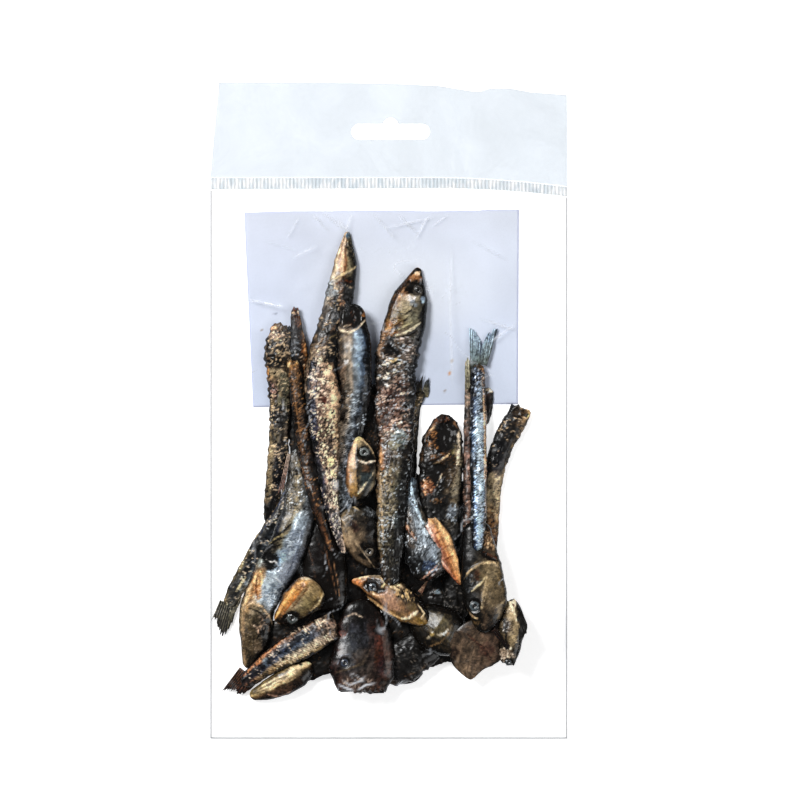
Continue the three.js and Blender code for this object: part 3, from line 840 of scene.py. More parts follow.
            "0: #1e1a18, 0 #4a4038, #6a5c48",
            "0.6: #262422, -0.3 #45413c, 0.2 #6a5d4a, 0.65 #97866a, #7a6648",
            "1: #1e1a18, 0 #6a6650, #8a7c60",
        ),
        Blot(-8, -53, 3.5, 3.5, "#1c1511", ragged=0.15),
        Eye(-7.5, -53.5, 2.1, "#6e6456", "#0b0908", "#2a211a"),
        Line(((-18.5, -40), (-15, -46.5), (-10, -53.5), (-5.5, -59.5)), 0.4, "#b0a284", height=0.25),
        Line(((-16.5, -39), (-11.5, -42), (-6.5, -43), (-2.5, -42)), 0.5, "#3a2a20"),
        Blot(-13, -44, 2.5, 1.5, "#5c2a20", turn=-50, amount=0.8),
        Line(((-19.5, -40), (-18, -37), (-14.5, -36), (-11, -38)), 0.6, "#cfc090", height=0.4),
        Crumb(-6.5, -38.5, 4, 2.5, "#b9c6d2", "#33383a", height=0.4, amount=0.7),
        Blot(-15, -47, 1.5, 4, "#8f826a", turn=30, amount=0.7),
        speck=("#d9c8a4", 0.15), bony=1,
    ),
    fish(
        "dark_heap", 0.4, (11.4, 16.8, 16, 9.9),
        ((-3, -101.2), (4.5, -95.8), (11.9, -90.9), (19.5, -87.4)),
        skin("0: #4a4440, 0 #3a2e2a, #14110f", "1: #2e2018, 0 #1c1612, #14110f"),
        Line(((-2, -76), (1, -87.5), (4, -98)), 1.5, "#6a6668", amount=0.7),
        Blot(0, -104, 2.5, 1.5, "#8a5c30", amount=0.6),
        Line(((6, -82), (9.5, -87.5), (13.5, -91)), 0.5, "#5a5040"),
        Line(((6, -101), (12, -99), (15.5, -95)), 0.5, "#7a5a38", height=0.2),
        Crumb(8, -91, 5.5, 5.5, "#6a5844", "#14110f", size=1.2, height=0.3, amount=0.5),
        speck=("#7d7f80", 0.25), tone=0.9,
    ),
    fish(
        "olive_head", 0.45, (7.6, 15.2, 19.1, 17.5, 12.2),
        ((8.9, -76.8), (15, -80.6), (21.8, -84.4), (28.7, -87.4)),
        skin(
            "0: #2e2018, 0 #7a7048, #3f3c2a", "0.5: #3e2e1c, -0.5 #57492c, 0 #74704f, 0.5 #6a6040, #2e2018",
            "1: #4a4030, 0 #5a5038, #2e2018",
        ),
        Line(((18.5, -85), (21, -85), (22.5, -83)), 0.8, "#e8f0ee", height=0.3),
        Line(((22, -93.5), (25, -92), (28.5, -88)), 0.6, "#ccd6da", height=0.3),
        Line(((22, -95), (26, -93.5), (29.5, -89.5)), 0.6, "#14110f"),
        # The small gold blot is a painted highlight.
        Blot(16.5, -85, 0.8, 0.8, "#c8b460", height=0.2), Blot(15, -86, 1, 0.5, "#b8b8a0", turn=20),
        Line(((15.5, -89.5), (19.5, -88), (22.5, -85), (23.5, -82)), 0.5, "#a88450", height=0.2),
        Blot(20, -80, 2.5, 2, "#7c7a58", amount=0.8),
        Line(((13.5, -75), (19.5, -76), (26.5, -77)), 0.6, "#2a2016"),
        Line(((15.5, -73.5), (22, -73.5)), 0.8, "#4a4438", height=0.3),
        speck=("#d9c8a4", 0.2), bony=1, tone=0.9,
    ),
    fish(
        "brown_flap", 0.1, (1.5, 14.5, 22.9, 21.3, 15.2),
        ((31.1, -102.3), (31.1, -96.6), (32.5, -90.5), (34, -84.4), (33.2, -79.1)),
        skin("0: #786656, 0 #887662, #786856", "1: #6a4c3e, 0 #6c5a4a, #5a4a3c"),
        Line(((31, -87.5), (31.5, -93), (31.5, -101)), 0.5, "#7c6c5c", height=0.3),
        Line(((34, -87.5), (38, -93), (40, -96.5)), 0.5, "#3c2c24"),
        Line(((30, -85), (35, -89.5), (38.5, -95)), 0.4, "#7a4030"),
        Blot(37, -91, 3, 2.5, "#6a3c34", turn=20, amount=0.6), Blot(24, -92, 3, 2, "#5c4438"),
        speck=("#d9c8a4", 0.08), torn_edge=0.1, bony=1, tone=0.94,
    ),
    fish(
        "right_head", 0.55, (5.3, 8.4, 10.3, 9.5, 5.7),
        ((45.1, -96.6), (45.8, -89.7), (46.6, -83.6), (46.6, -76.8), (45.2, -72.2)),
        skin(
            "0: #14110f, 0 #4a4430, #2e2018", "0.6: #1e1a18, 0 #6a6044, #55492e",
            "1: #3f3c2a, 0 #8a8468, #2e2018",
        ),
        # The first, pale blot is a painted highlight.
        Blot(47, -73, 1.3, 2.5, "#e2e0d0", height=0.3), Blot(47, -74, 0.6, 0.6, "#6a2a20", height=0.2),
        Blot(49.5, -76, 1, 2, "#1e1a18"), Line(((44, -83), (46.5, -85), (48.5, -88)), 0.5, "#b8b090"),
        Crumb(45.5, -83, 2, 3.5, "#b9c6d2", "#2e2018", size=0.9, height=0.3, amount=0.7),
        Blot(47.5, -84.5, 2, 5.5, "#8a8060", turn=-12, amount=0.85),
        Line(((43.5, -79), (44.5, -84.5), (44.5, -90.5)), 0.5, "#14110f"),
        # These pale flakes are painted highlights of the crinkled film over the head.
        Crumb(44.5, -92.5, 3, 2.5, "#f0f4f4", "#5a4a38", height=0.3, amount=0.85),
        Blot(46.5, -77, 1.5, 2.5, "#a89f82", amount=0.8),
        Line(((45.5, -72), (47.5, -76), (48.5, -80)), 0.5, "#d8d4c0", height=0.2),
        Eye(45.4, -95.4, 1.4, "#3a4044", "#141414", "#2a241e"),
        ends=(End.TORN, End.TORN), speck=("#efe6d2", 0.25), bony=1, tone=1.16,
    ),
    fish(
        "film_head", 0.3, (18.3, 25.9, 23.6, 18.3, 9.9),
        ((-10.6, -107.3), (-10.2, -99.6), (-9.8, -90.5), (-10.2, -79.8), (-10.6, -71.4)),
        skin(
            "0: #5a3424, -0.3 #5e4438, 0.3 #6a5850, #6e3a26",
            "0.3: #6e3626, -0.6 #5a2a28, -0.2 #4e4644, 0.5 #4c4c54, #5c2a26",
            "0.6: #5c5a60, -0.55 #6a2c1e, -0.2 #44444e, 0.5 #3e4452, #5a2420",
            "1: #3a2018, 0 #1e1614, #5a3420",
        ),
        Eye(-16.7, -95.8, 1.8, "#3a4150", "#15161b", "#2a2a32"),
        Line(((-19.5, -96.5), (-18, -93), (-15, -92.5), (-12.5, -95), (-14, -98)),
            0.4, "#5e6474", height=0.1),
        Blot(-4, -93, 1.5, 4.5, "#7c3816", amount=0.8), Blot(-4.5, -87.5, 1.3, 2.5, "#8a4438", amount=0.8),
        Blot(-3, -96.5, 1.5, 3.5, "#5a2230", amount=0.7),
        Line(((-19.5, -84.5), (-21.5, -90.5), (-23, -96)), 1.1, "#5c2226", amount=0.8),
        Line(((-20, -99.5), (-15, -98), (-10, -96), (-7, -91)), 0.8, "#7a6c50", amount=0.7),
        Blot(-11, -93.5, 3, 3, "#5e5048", turn=30, amount=0.7),
        Blot(-15, -88, 3.5, 3.5, "#3e4656", amount=0.7),
        Line(((-2, -80.5), (-1, -91), (1, -104)), 1.9, "#66666a", amount=0.7),
        # The light flakes at the lower edge are painted highlights of the crinkled film.
        Crumb(-11.5, -103.5, 5.5, 2, "#b8b4b0", "#4a3430", height=0.3, amount=0.8),
        Line(((-16.5, -78.5), (-13, -77), (-10, -78.5)), 0.5, "#b0a89a"),
        Line(((-17, -72), (-18.5, -80), (-21, -87.5)), 1, "#8a6a60", amount=0.7),
        Blot(-18, -85, 2, 1.3, "#a8584a", turn=20, amount=0.8),
        Blot(-0.5, -104, 2.5, 2, "#6a4a20", amount=0.7),
        ends=(End.TORN, End.ROUND), speck=("#8a8698", 0.1), bony=1,
    ),
    fish(
        "striped_head", 0.6, (3.4, 7.6, 9.9, 9.9, 6.1),
        ((-52.9, -108.8), (-44.5, -105.7), (-36.5, -101.5), (-29.2, -96.6)),
        skin(
            "0: #2e2018, -0.5 #7a6034, 0 #c8b87c, 0.5 #6a5c30, #a89a50",
            "0.3: #4c3024, -0.4 #5c4230, -0.15 #6a5434, 0 #e6daae, 0.12 #a08a5c, 0.3 #f4ecd0, "
            "0.45 #7a6a44, 0.6 #efe6c4, 0.75 #5a4c2c, #8a7a44",
            "1: #3a281e, -0.2 #4a3626, 0.1 #8a7850, 0.4 #e8dcb4, #9a8a5c",
        ),
        Blot(-40, -106.5, 5.5, 2, "#6e4c38", turn=20, amount=0.8),
        Line(((-46, -108), (-41.5, -109), (-37.5, -107)), 0.5, "#b08a78"),
        Blot(-34, -95, 3, 1.5, "#14110f", turn=25), Blot(-31.5, -99.5, 1.5, 1.5, "#4a4030"),
        speck=("#d9c8a4", 0.12), bony=1,
    ),
    fish(
        "silver_fish", 0.5, (3.4, 12.6, 13.3, 14.5, 14.9, 13.3, 10.3, 5.3),
        ((-54, -98.1), (-51, -87.4), (-50, -76), (-45.2, -64.6), (-38.4, -51.2), (-34, -37.9), (-34, -24.6),
        (-35, -14.7)),
        skin(
            "0: #2e2018, 0 #54482f, 0.6 #7a6c50, #9a8a6c",
            "0.22: #1e1a18, -0.3 #4a4434, 0.3 #6a6044, #8f7f5e",
            "0.33: #5a6470, -0.4 #a4b6c6, 0.2 #b8c6cc, 0.6 #b07c3c, 0.85 #d8c49a, #6a4c28",
            "0.48: #3a3c48, -0.6 #808ca0, -0.1 #a0b0c2, 0.25 #90a8c0, 0.5 #2c2c28, 0.75 #6a6c70, #6a6450",
            "0.62: #2a2a30, -0.5 #66707c, 0 #9cb2c6, 0.3 #6a6a58, 0.55 #6e6646, 0.8 #23305a, #3f3c2a",
            "0.8: #26262a, -0.3 #5e6468, 0.2 #7a745a, 0.7 #5a543c, #3f3c2a",
            "1: #1e1a18, 0 #5a5644, #4a4a48",
        ),
        Blot(-44, -57.5, 3, 3, "#040404", height=-1.8, ragged=0.3),
        Blot(-46.5, -55.5, 2, 1.5, "#060606", height=-0.8),
        Line(((-47, -56.5), (-45, -57.5), (-43.5, -57), (-42, -59)), 0.4, "#f4f6f6", height=0.2),
        Line(((-41, -60.5), (-42.5, -61), (-44.5, -61)), 0.3, "#dce4ea"),
        Line(((-41.5, -59), (-40, -55.5), (-38, -51.5)), 0.5, "#eef4f8", height=0.3),
        Blot(-37, -52.5, 2.5, 5.5, "#bcd2e6", turn=-32, amount=0.7),
        Blot(-40, -55.5, 1.5, 3.5, "#9cc8f0", turn=-25, amount=0.8),
        Blot(-33.5, -43.5, 2.5, 4.5, "#a4b8c8", turn=-20, amount=0.6),
        Line(((-47, -52.5), (-43.5, -49.5), (-39, -48)), 0.6, "#14120c"),
        Line(((-46, -51), (-42.5, -48), (-38.5, -46.5)), 0.5, "#8a8458"),
        Line(((-43, -48), (-39, -45), (-37, -43)), 0.7, "#17150f"),
        Line(((-47.5, -54.5), (-44.5, -52), (-41, -51)), 0.6, "#1a1812"),
        Blot(-50, -67, 1.5, 5, "#b8742e", turn=12),
        Line(((-49, -61), (-48, -64), (-48.5, -67)), 0.5, "#e8c488"),
        Blot(-50.5, -64.5, 1, 2, "#e8d0a0", amount=0.8),
        Line(((-50, -62.5), (-50.5, -67.5), (-50, -72)), 0.4, "#7a3a14"),
        Blot(-45, -68.5, 3, 4.5, "#cde0ec", amount=0.85),
        Crumb(-45, -70, 3.5, 4, "#f0f8fc", "#5a7088", size=0.9, height=0.3, amount=0.7),
        Blot(-38, -62.5, 3.5, 5, "#a4b0c0", amount=0.7),
        Line(((-34.5, -41.5), (-37, -51), (-41, -61)), 0.4, "#dce8f2", height=0.2),
        Line(((-32.5, -45), (-35, -54), (-38.5, -62.5)), 0.4, "#56627a", height=-0.2),
        Line(((-43, -63.5), (-40.5, -66), (-38.5, -69)), 0.4, "#e8f0f4", height=0.2),
        Crumb(-36.5, -49.5, 2.5, 6, "#e4f0fa", "#4c586c", size=0.9, height=0.3, turn=-30, amount=0.7),
        Crumb(-41.5, -69, 2.5, 2.5, "#dfeaf2", "#3a4654", size=0.9, height=0.3, amount=0.7),
        Blot(-50.5, -57.5, 2, 2.5, "#b4c4bc", amount=0.8),
        Line(((-54.5, -74.5), (-51.5, -73), (-48.5, -74.5), (-45, -79), (-43.5, -83)),
            0.6, "#c0ae8c", height=0.4),
        Line(((-53, -75), (-48.5, -77), (-46, -81.5)), 0.5, "#1e1a18"),
        Line(((-52, -81.5), (-50, -82.5), (-49.5, -84.5)), 0.5, "#d0b8a8"),
        Crumb(-47.5, -82, 3, 4, "#c8a890", "#14110f", size=1.1, height=0.4, amount=0.6),
        Line(((-55, -74.5), (-55.5, -87.5), (-54.5, -96.5)), 0.8, "#8a7254"),
        Blot(-53, -87.5, 2.5, 5.5, "#57492f", amount=0.8),
        Line(((-50.5, -87.5), (-48.5, -84.5), (-46, -87.5)), 0.5, "#1e1a18"),
        Blot(-50, -89.5, 2, 2.5, "#6e604a"),
        scales=Scales(Rows.DIAGONAL, 1.2, 0.3), speck=("#d8e6f2", 0.3), bony=0.7, tone=1.09,
    ),
    fish(
        "grey_fish", 0.5, (3.8, 6.5, 12.2, 15.2, 13),
        ((9, -25.3), (9, -36), (11.5, -47.8), (14.6, -57.3), (16.1, -64.6)),
        skin(
            "0: #4b545c, -0.2 #a4c6e2, 0.5 #4a5a68, #1e1a18",
            "0.45: #1e1a18, -0.5 #5a4c40, -0.1 #4e545a, 0.3 #9aa8b2, 0.8 #5a5648, #2e2018",
            "0.8: #232528, -0.5 #44484c, 0 #6e767e, 0.5 #8fa0b0, #4a3c2c", "1: #1e1a18, 0 #3c3c3a, #2e2018",
        ),
        # The pale blue line down the upper part is a painted highlight.
        Line(((8.5, -27), (9, -32.5), (11, -38.5), (13, -43)), 1, "#bcd6ea", height=0.3),
        Line(((6, -41.5), (7.5, -45.5), (10.5, -49)), 0.8, "#a0603c", height=0.3),
        Line(((6.5, -43), (9, -46.5)), 0.4, "#e0b898"), Blot(15.5, -59, 2.5, 2, "#3a5c98", height=0.1),
        Crumb(15.5, -59, 2.5, 2, "#8fb0e0", "#1c2c50", size=0.8, height=0.2, amount=0.6),
        Crumb(12, -53, 2.5, 3, "#dfe8f0", "#3a444c", size=0.9, height=0.3, amount=0.7),
        Line(((10.5, -66), (14.5, -62.5), (19, -58)), 0.5, "#d0a090", height=0.3),
        Line(((11.5, -68.5), (15.5, -64), (19.5, -59)), 0.5, "#7a3a2c", height=0.2),
        Line(((12.5, -69.5), (16, -66)), 0.4, "#e8c8b0", height=0.2), Blot(11, -66.5, 1.1, 1.5, "#e0cfa0"),
        scales=Scales(Rows.DIAGONAL, 1.0, 0.3), speck=("#d8e6f2", 0.35),
    ),
    fish(
        "down_head", 0.45, (6.1, 16.8, 16.4, 13.3, 9.1),
        ((36.3, -84.4), (36.7, -74.5), (35.5, -64.6), (34.4, -53.1), (32.9, -41.7)),
        skin(
            "0: #2e2018, 0 #4a3c30, #14110f",
            "0.5: #6e603e, -0.4 #8e815c, 0 #746848, 0.5 #464036, #14110f",
            "0.75: #5a4a34, 0 #3c3a34, #1e1a18", "1: #2e2018, #14110f",
        ),
        Blot(32.5, -74, 3, 3, "#1a130e", ragged=0.1),
        Eye(32.5, -74.1, 2.2, "#4c565b", "#0c0d10", "#1a1410"),
        Crumb(38.5, -48.5, 2.5, 4, "#dcc8a0", "#5a3014", height=0.4, amount=0.85),
        Line(((35, -54), (38, -56), (41, -57)), 1.2, "#1c0905", height=-0.4),
        Line(((36, -53.5), (39, -55), (41, -56)), 0.5, "#7a3a1c"),
        Line(((28.5, -64), (31, -60.5), (35, -58), (39.5, -57.5), (42, -59.5)), 0.7, "#c2b288", height=0.4),
        Blot(39, -61, 2.5, 3, "#7c7458", turn=-20, amount=0.85), Blot(33.5, -62, 1.1, 2, "#6a3a20"),
        Line(((38.5, -64), (37, -69), (35.5, -75)), 0.3, "#a89e80", height=0.2),
        Line(((40, -64), (39, -69), (37.5, -75)), 0.3, "#8a8064", height=0.2),
        Blot(40, -70.5, 3.5, 5.5, "#6c6248", amount=0.85),
        Line(((37.5, -61.5), (36, -69), (35, -75)), 0.4, "#b0a684", height=0.2),
        Blot(42.5, -78.5, 1.5, 3, "#847a5e", amount=0.8),
        Line(((31.5, -68.5), (35, -65.5), (36.5, -63.5)), 0.5, "#d0d4ae", height=0.2),
        Crumb(30, -65.5, 2.5, 3, "#8a98a8", "#22262a", height=0.4, amount=0.6),
        Line(((29.5, -75), (31.5, -78), (34, -79)), 0.5, "#c8b088"),
        Blot(31.5, -80.5, 2.5, 2, "#8a6a34", amount=0.8),
        Line(((41, -74.5), (43, -73), (44.5, -71.5)), 0.5, "#8a8268"),
        Crumb(35, -87.5, 2, 2, "#7a5a58", "#2e2018", height=0.2),
        speck=("#d9c8a4", 0.15), torn_edge=0.15, bony=1, tone=1.07,
    ),
    fish(
        "strip_body", 0.6, (5, 6.1, 6.5, 6.5, 5.3, 2.3),
        ((-36.3, 18.9), (-34, 2.1), (-31, -17.3), (-27.3, -34.9), (-21.6, -54.3)),
        skin(
            "0: #7a5424, 0 #b07c40, #4a3322",
            "0.15: #3a2a1c, -0.4 #6a4c30, 0.2 #80603c, 0.6 #2e2018, #14110f",
            "0.45: #3a2018, -0.3 #6a442c, 0.3 #503828, #14110f",
            "0.65: #2a1a14, -0.4 #6a3e22, 0.2 #4a2e20, #14110f", "1: #3a2418, 0 #7a4e28, #2e2018",
        ),
        Blot(-36.5, 18.5, 2, 1.3, "#e0a850", height=0.4), Blot(-38, 17.5, 0.8, 1.1, "#f0d49c", height=0.2),
        Blot(-34.5, 19, 1, 0.8, "#f4dca0"),
        Crumb(-32.5, -11, 2.5, 23, "#b88a58", "#2a1a12", size=0.8, height=0.4, turn=8, amount=0.55),
        Line(((-37, 14.5), (-35, 0), (-32.5, -15), (-29.5, -30.5)), 0.4, "#9a6c38", height=0.2),
        ends=(End.TORN, End.ROUND), speck=("#c89050", 0.3),
    ),
    fish(
        "crumbled_body", 0.6, (8.4, 13.7, 11.4, 9.1, 6.9, 5, 1.9),
        ((-25.8, 18.5), (-24.7, 0.2), (-23.7, -17.3), (-22, -34.9), (-19.5, -45.5), (-17, -54.3)),
        skin(
            "0: #262c40, -0.4 #5a545c, 0.1 #d4bca4, #9a7e64",
            "0.5: #20203c, -0.5 #3a344c, 0 #b89c80, 0.6 #e0c8a0, #9a8468",
            "1: #2a2430, 0 #8a8080, #a89c90",
        ),
        Crumb(-26.5, 6, 4, 9, "#ecdcd0", "#54403a", height=0.6),
        Crumb(-23.5, -11, 3.5, 10, "#f0e0c0", "#3c2c28", size=0.9, height=0.6),
        Crumb(-21, -28.5, 3, 10, "#f4ecdc", "#3a3034", size=0.9, height=0.6),
        Crumb(-19.5, -43.5, 2, 7.5, "#e8e4e0", "#33303a", size=0.8),
        Crumb(-29.5, -7.5, 1.5, 17, "#7a84a0", "#14142a", size=0.9, height=0.4, turn=-5, amount=0.8),
        Blot(-24.5, 4, 1, 1.5, "#6a2a20"), Blot(-26, 5, 0.8, 0.8, "#6a3428"),
        Blot(-22, -19.5, 1.3, 2, "#e8dca8"), Blot(-21, -24, 1.1, 1.5, "#ece0b0"),
        Line(((-31.5, 12.5), (-29.5, 13), (-27.5, 11)), 0.4, "#f0e8e0"),
        ends=(End.TORN, End.ROUND), speck=("#efe6d2", 0.25), torn_edge=0.3, tone=1.12,
    ),
    fish(
        "up_head", 0.5, (2.7, 10.3, 12.2, 11.4, 6.5),
        ((-11.5, -9.9), (-10.4, -17), (-10.4, -24.6), (-12.3, -34.1)),
        skin(
            "0: #c8a890, -0.3 #c8c088, 0.5 #8a7a50, #2e2018",
            "0.3: #c09070, -0.8 #dcc8bc, -0.45 #c4a684, -0.25 #4a3a26, 0.1 #4a463a, 0.6 #383632, #1e1a18",
            "0.7: #a8683c, -0.7 #c09a60, -0.2 #a08040, 0 #4a5450, 0.5 #3a4444, 0.9 #b8b090, #14110f",
            "1: #b0843c, 0 #7a5c28, #14110f",
        ),
        Blot(-12, -10.5, 1.3, 1.3, "#d4da94", height=0.3),
        Blot(-13.5, -26.5, 1.5, 5, "#b08a3c", amount=0.7),
        Eye(-9.4, -15.8, 2.1, "#6c7270", "#100f0d", "#262019"),
        Line(((-13, -12), (-10, -11), (-7, -14), (-5, -18)), 0.5, "#b8a880", height=0.3),
        Line(((-6, -24), (-8.5, -27.5), (-11.5, -31.5)), 0.6, "#e8e0c0", height=0.3),
        Line(((-11.5, -19), (-8.5, -20), (-5, -19)), 0.6, "#f0e8e0", height=0.3),
        Blot(-8.5, -22, 1.5, 1.5, "#8a5a34"), Blot(-8.5, -25.5, 2, 2, "#46585a"),
        Line(((-12, -13), (-12, -22.5), (-11.5, -31)), 0.4, "#2e2018"), Blot(-13, -34, 2, 1.1, "#2e2018"),
        speck=("#efe6d2", 0.12), bony=1,
    ),
    fish(
        "blue_fish", 0.85, (3.8, 5.7, 6.1, 6.5, 6.5, 6.1, 5),
        ((33.6, -53.1), (34.2, -34.1), (34, -11.2), (34, 4), (34, 17.7)),
        skin(
            "0: #2e2018, -0.6 #7088a4, -0.1 #a8c0d8, 0.5 #2c4878, #141c30",
            "0.5: #7a4420, -0.85 #d09a6a, -0.6 #8aa4c0, -0.1 #c4d6e6, 0.45 #5a7898, 0.72 #1c2c4e, #141a28",
            "0.85: #8a5a34, -0.5 #7a8a98, 0 #8aa4c0, 0.5 #2a3a58, #2e2018",
            "1: #a86a30, 0 #4a3c2c, #4a4026",
        ),
        Blot(34, 17.5, 2.5, 1.5, "#6a5228"), Blot(36.5, 15, 1, 1.5, "#d0904c"),
        Crumb(33.5, 13.5, 2.5, 3, "#b8d0ec", "#16203a", height=0.3),
        Blot(31.5, 11.5, 1.1, 7, "#1a2440", amount=0.8),
        Line(((36, 8), (36.5, -7.5), (36.5, -26.5)), 0.4, "#e0b890"),
        scales=Scales(Rows.CHEVRON, 1.05, 0.8), speck=("#d8e6f2", 0.45), tone=1.05,
    ),
    fish(
        "gold_head", 0.5, (1.5, 9.5, 13.7, 12.2, 4.6),
        ((-14, -64.6), (-6.8, -66.5), (2, -71.4), (9.6, -76.8), (14.6, -80.6)),
        skin(
            "0: #a8682c, 0 #d08040, #c9a878",
            "0.4: #7a5024, -0.75 #d0a868, -0.55 #7a5430, -0.3 #a07c5c, 0.1 #a27e66, 0.5 #8a6c44, "
            "0.85 #ecdfbc, #8a7850",
            "0.75: #8a6a34, -0.5 #8a6c40, 0 #94704a, 0.5 #4a3c2c, #2e2018",
            "1: #7a6030, 0 #9a7a34, #2e2018",
        ),
        Blot(-11.5, -65.5, 1.2, 1, "#d88440", height=0.3), Blot(-8.5, -65.5, 2, 2, "#7a4814", amount=0.9),
        Blot(-5.5, -66.5, 4, 3, "#120a08", turn=-18, height=-0.7, ragged=0.15),
        Eye(-6, -67.2, 1.9, "#5c656c", "#08080a", "#1a100a"),
        Line(((-11, -63.5), (-7.5, -62.5), (-2.5, -62.5), (1, -63.5)), 0.8, "#f6ecd0", height=0.5),
        Line(((-2, -63.5), (-1.5, -65.5), (-3, -67.5)), 0.6, "#e8d4a0", height=0.4),
        Line(((-12.5, -67), (-8.5, -71), (-3.5, -74.5), (1, -77.5), (5, -79)), 0.5, "#ecc888", height=0.4),
        Line(((-12, -66.5), (-8, -70), (-3, -73.5), (2, -76.5)), 0.5, "#5a3814", height=-0.2),
        Line(((-7, -69), (-3.5, -70.5), (0.5, -73.5)), 0.5, "#dcb888"),
        Blot(0, -73, 4, 2.5, "#ae8672", turn=-35, amount=0.8),
        Line(((5, -79), (8, -78.5), (11, -76)), 0.8, "#fbf4de", height=0.5),
        Crumb(6, -70, 3.5, 2.5, "#e8cc88", "#2e241c", turn=-35),
        Line(((-1, -65.5), (1.5, -67), (4.5, -68.5)), 0.8, "#ead8a8", height=0.4),
        Blot(12.5, -79.5, 2.5, 1.5, "#a0802c", turn=-35, height=0.2),
        Line(((11, -73.5), (13.5, -77), (12.5, -79)), 0.5, "#e8dcb8", height=0.3),
        Blot(8.5, -74.5, 2, 1.5, "#7c6a3a", turn=-35),
        speck=("#efe6d2", 0.12), bony=1,
    ),
    fish(
        "tail_piece", 0.5, (9.9, 12.2, 11, 8.4, 5.7),
        ((-20.1, -81.3), (-29.2, -86.3), (-39.1, -92), (-48.3, -98.1), (-55.9, -104.2)),
        skin(
            "0: #8a6a4a, -0.4 #6a5448, 0.2 #8a7c70, #5a4434",
            "0.35: #2e2018, -0.75 #8a5c3a, -0.45 #2a3348, -0.05 #41526c, 0.25 #8c8c88, "
            "0.6 #aaa48c, 0.85 #8f783e, #4a3820",
            "0.75: #6a3418, -0.7 #c07a44, -0.35 #20244c, 0.1 #3c4668, 0.5 #8a7a5c, #5a4422",
            "1: #7a3818, -0.2 #3a2c3c, 0.5 #6a4430, #2e2018",
        ),
        Blot(-22, -78, 1.1, 0.9, "#d8a868", height=0.4),
        Crumb(-25.5, -80.5, 3.5, 2.5, "#dccab8", "#4a3a30", size=0.9, height=0.4),
        Blot(-32.5, -85.5, 3.5, 1.5, "#33415c", turn=32, amount=0.7),
        Line(((-39, -86.5), (-45, -91), (-50.5, -96), (-55, -101)), 0.6, "#d08a50", height=0.2),
        Blot(-50, -99, 3.5, 1.5, "#1c1e52", turn=36, amount=0.8),
        Blot(-47, -95.5, 1.1, 1.5, "#7a98a0", amount=0.8),
        Crumb(-31, -85, 3, 1.5, "#d8e6f2", "#222c40", size=0.8, height=0.3, turn=32, amount=0.6),
        ends=(End.TORN, End.ROUND), scales=Scales(Rows.CHEVRON, 1.1, 0.35), speck=("#efe6d2", 0.35),
    ),
    fish(
        "amber_head", 0.55, (3.4, 9.5, 13.3, 14.9, 12.2),
        ((-43.1, -80.2), (-38.4, -76.8), (-33.4, -72.2), (-26.2, -66.5)),
        skin(
            "0: #2e2018, 0 #6a4420, #b87830",
            "0.45: #2e2018, -0.85 #7a6a40, -0.4 #8a8258, 0 #a49c7c, 0.3 #a89c78, 0.5 #c8802c, "
            "0.8 #e0a050, #7a4a1c",
            "1: #2e2018, -0.6 #7a6430, 0 #a08c50, 0.5 #b09050, #c8a070",
        ),
        Blot(-37.5, -79, 4, 2.5, "#241611", turn=25, amount=0.9, ragged=0.15),
        Eye(-36.7, -78.9, 2.4, "#474d4c", "#0e0c0b", "#17100c"),
        Blot(-40, -80.5, 2, 1.5, "#3a1a0c", turn=30),
        Line(((-32.5, -64.5), (-37, -69.5), (-40.5, -74.5), (-43, -79)), 0.8, "#f0b868", height=0.4),
        Line(((-31, -65.5), (-34.5, -70), (-38.5, -75), (-41, -78.5)), 0.5, "#c86c24", height=0.2),
        Line(((-30.5, -67), (-34, -71.5), (-37, -75.5)), 0.5, "#7a4418", height=-0.2),
        Blot(-31, -63.5, 2, 0.8, "#f8ecd4", height=0.3),
        Crumb(-33.5, -67, 2, 1.1, "#f0c890", "#8a4c20", size=0.8, height=0.2, amount=0.7),
        Blot(-27.5, -67, 2.5, 3.5, "#94855c", amount=0.8),
        Line(((-25, -65.5), (-24.5, -69), (-26.5, -73), (-29.5, -76)), 0.6, "#e0d4a4", height=0.3),
        Line(((-23.5, -66), (-23.5, -70), (-25.5, -73.5)), 0.6, "#2e2018"),
        Line(((-42.5, -80.5), (-40, -82.5), (-36, -82), (-32.5, -79)), 0.5, "#c8a878", height=0.2),
        Blot(-31, -73, 2, 2, "#8f8858", amount=0.8),
        speck=("#efe6d2", 0.12), bony=1,
    ),
    fish(
        "main_fish", 0.48, (1.9, 13.3, 16, 16.4, 16, 15.2, 13.7, 13.3, 12.2, 10.7, 9.1, 6.9),
        ((11.3, 54.5), (8.3, 42.9), (5.4, 30.7), (2.6, 17.3), (2.4, 0.2), (2.6, -15), (1.6, -30.3),
        (1, -45.5), (0.9, -66.5)),
        skin(
            "0: #8a5424, 0 #d8a068, #14110f",
            "0.08: #6a3c18, -0.6 #8a5020, -0.2 #8a8264, 0.4 #a4a594, 0.8 #3a3a34, #14110f",
            "0.17: #8a5a24, -0.6 #84743c, -0.1 #8f8b62, 0.35 #7c8068, 0.7 #6a6c58, 0.88 #14110f, #14110f",
            "0.22: #b0845c, -0.6 #5a4636, 0.3 #6a6258, 0.75 #3c362e, 0.88 #14110f, #14110f",
            "0.4: #5a4032, -0.7 #6f5c50, 0 #5c4c44, 0.5 #50443c, 0.74 #3a322a, 0.84 #14110f, #14110f",
            "0.55: #7a4a30, -0.6 #75624f, 0 #625a50, 0.5 #4a463e, 0.8 #4a4234, #14110f",
            "0.68: #9a8058, -0.6 #857d62, -0.1 #70705a, 0.3 #4c5046, 0.6 #2c2e2c, #14110f",
            "0.85: #a09470, -0.5 #605e48, 0.1 #464a3e, 0.5 #262824, #14110f",
            "1: #6a5038, 0 #4a4434, #14110f",
        ),
        Line(((8.5, 51.5), (11, 54), (13, 51), (14, 45)), 0.8, "#14110f"), Blot(11, 52, 1.1, 1, "#ecd0b0"),
        Blot(11, 50, 2, 1.5, "#b06428", amount=0.9),
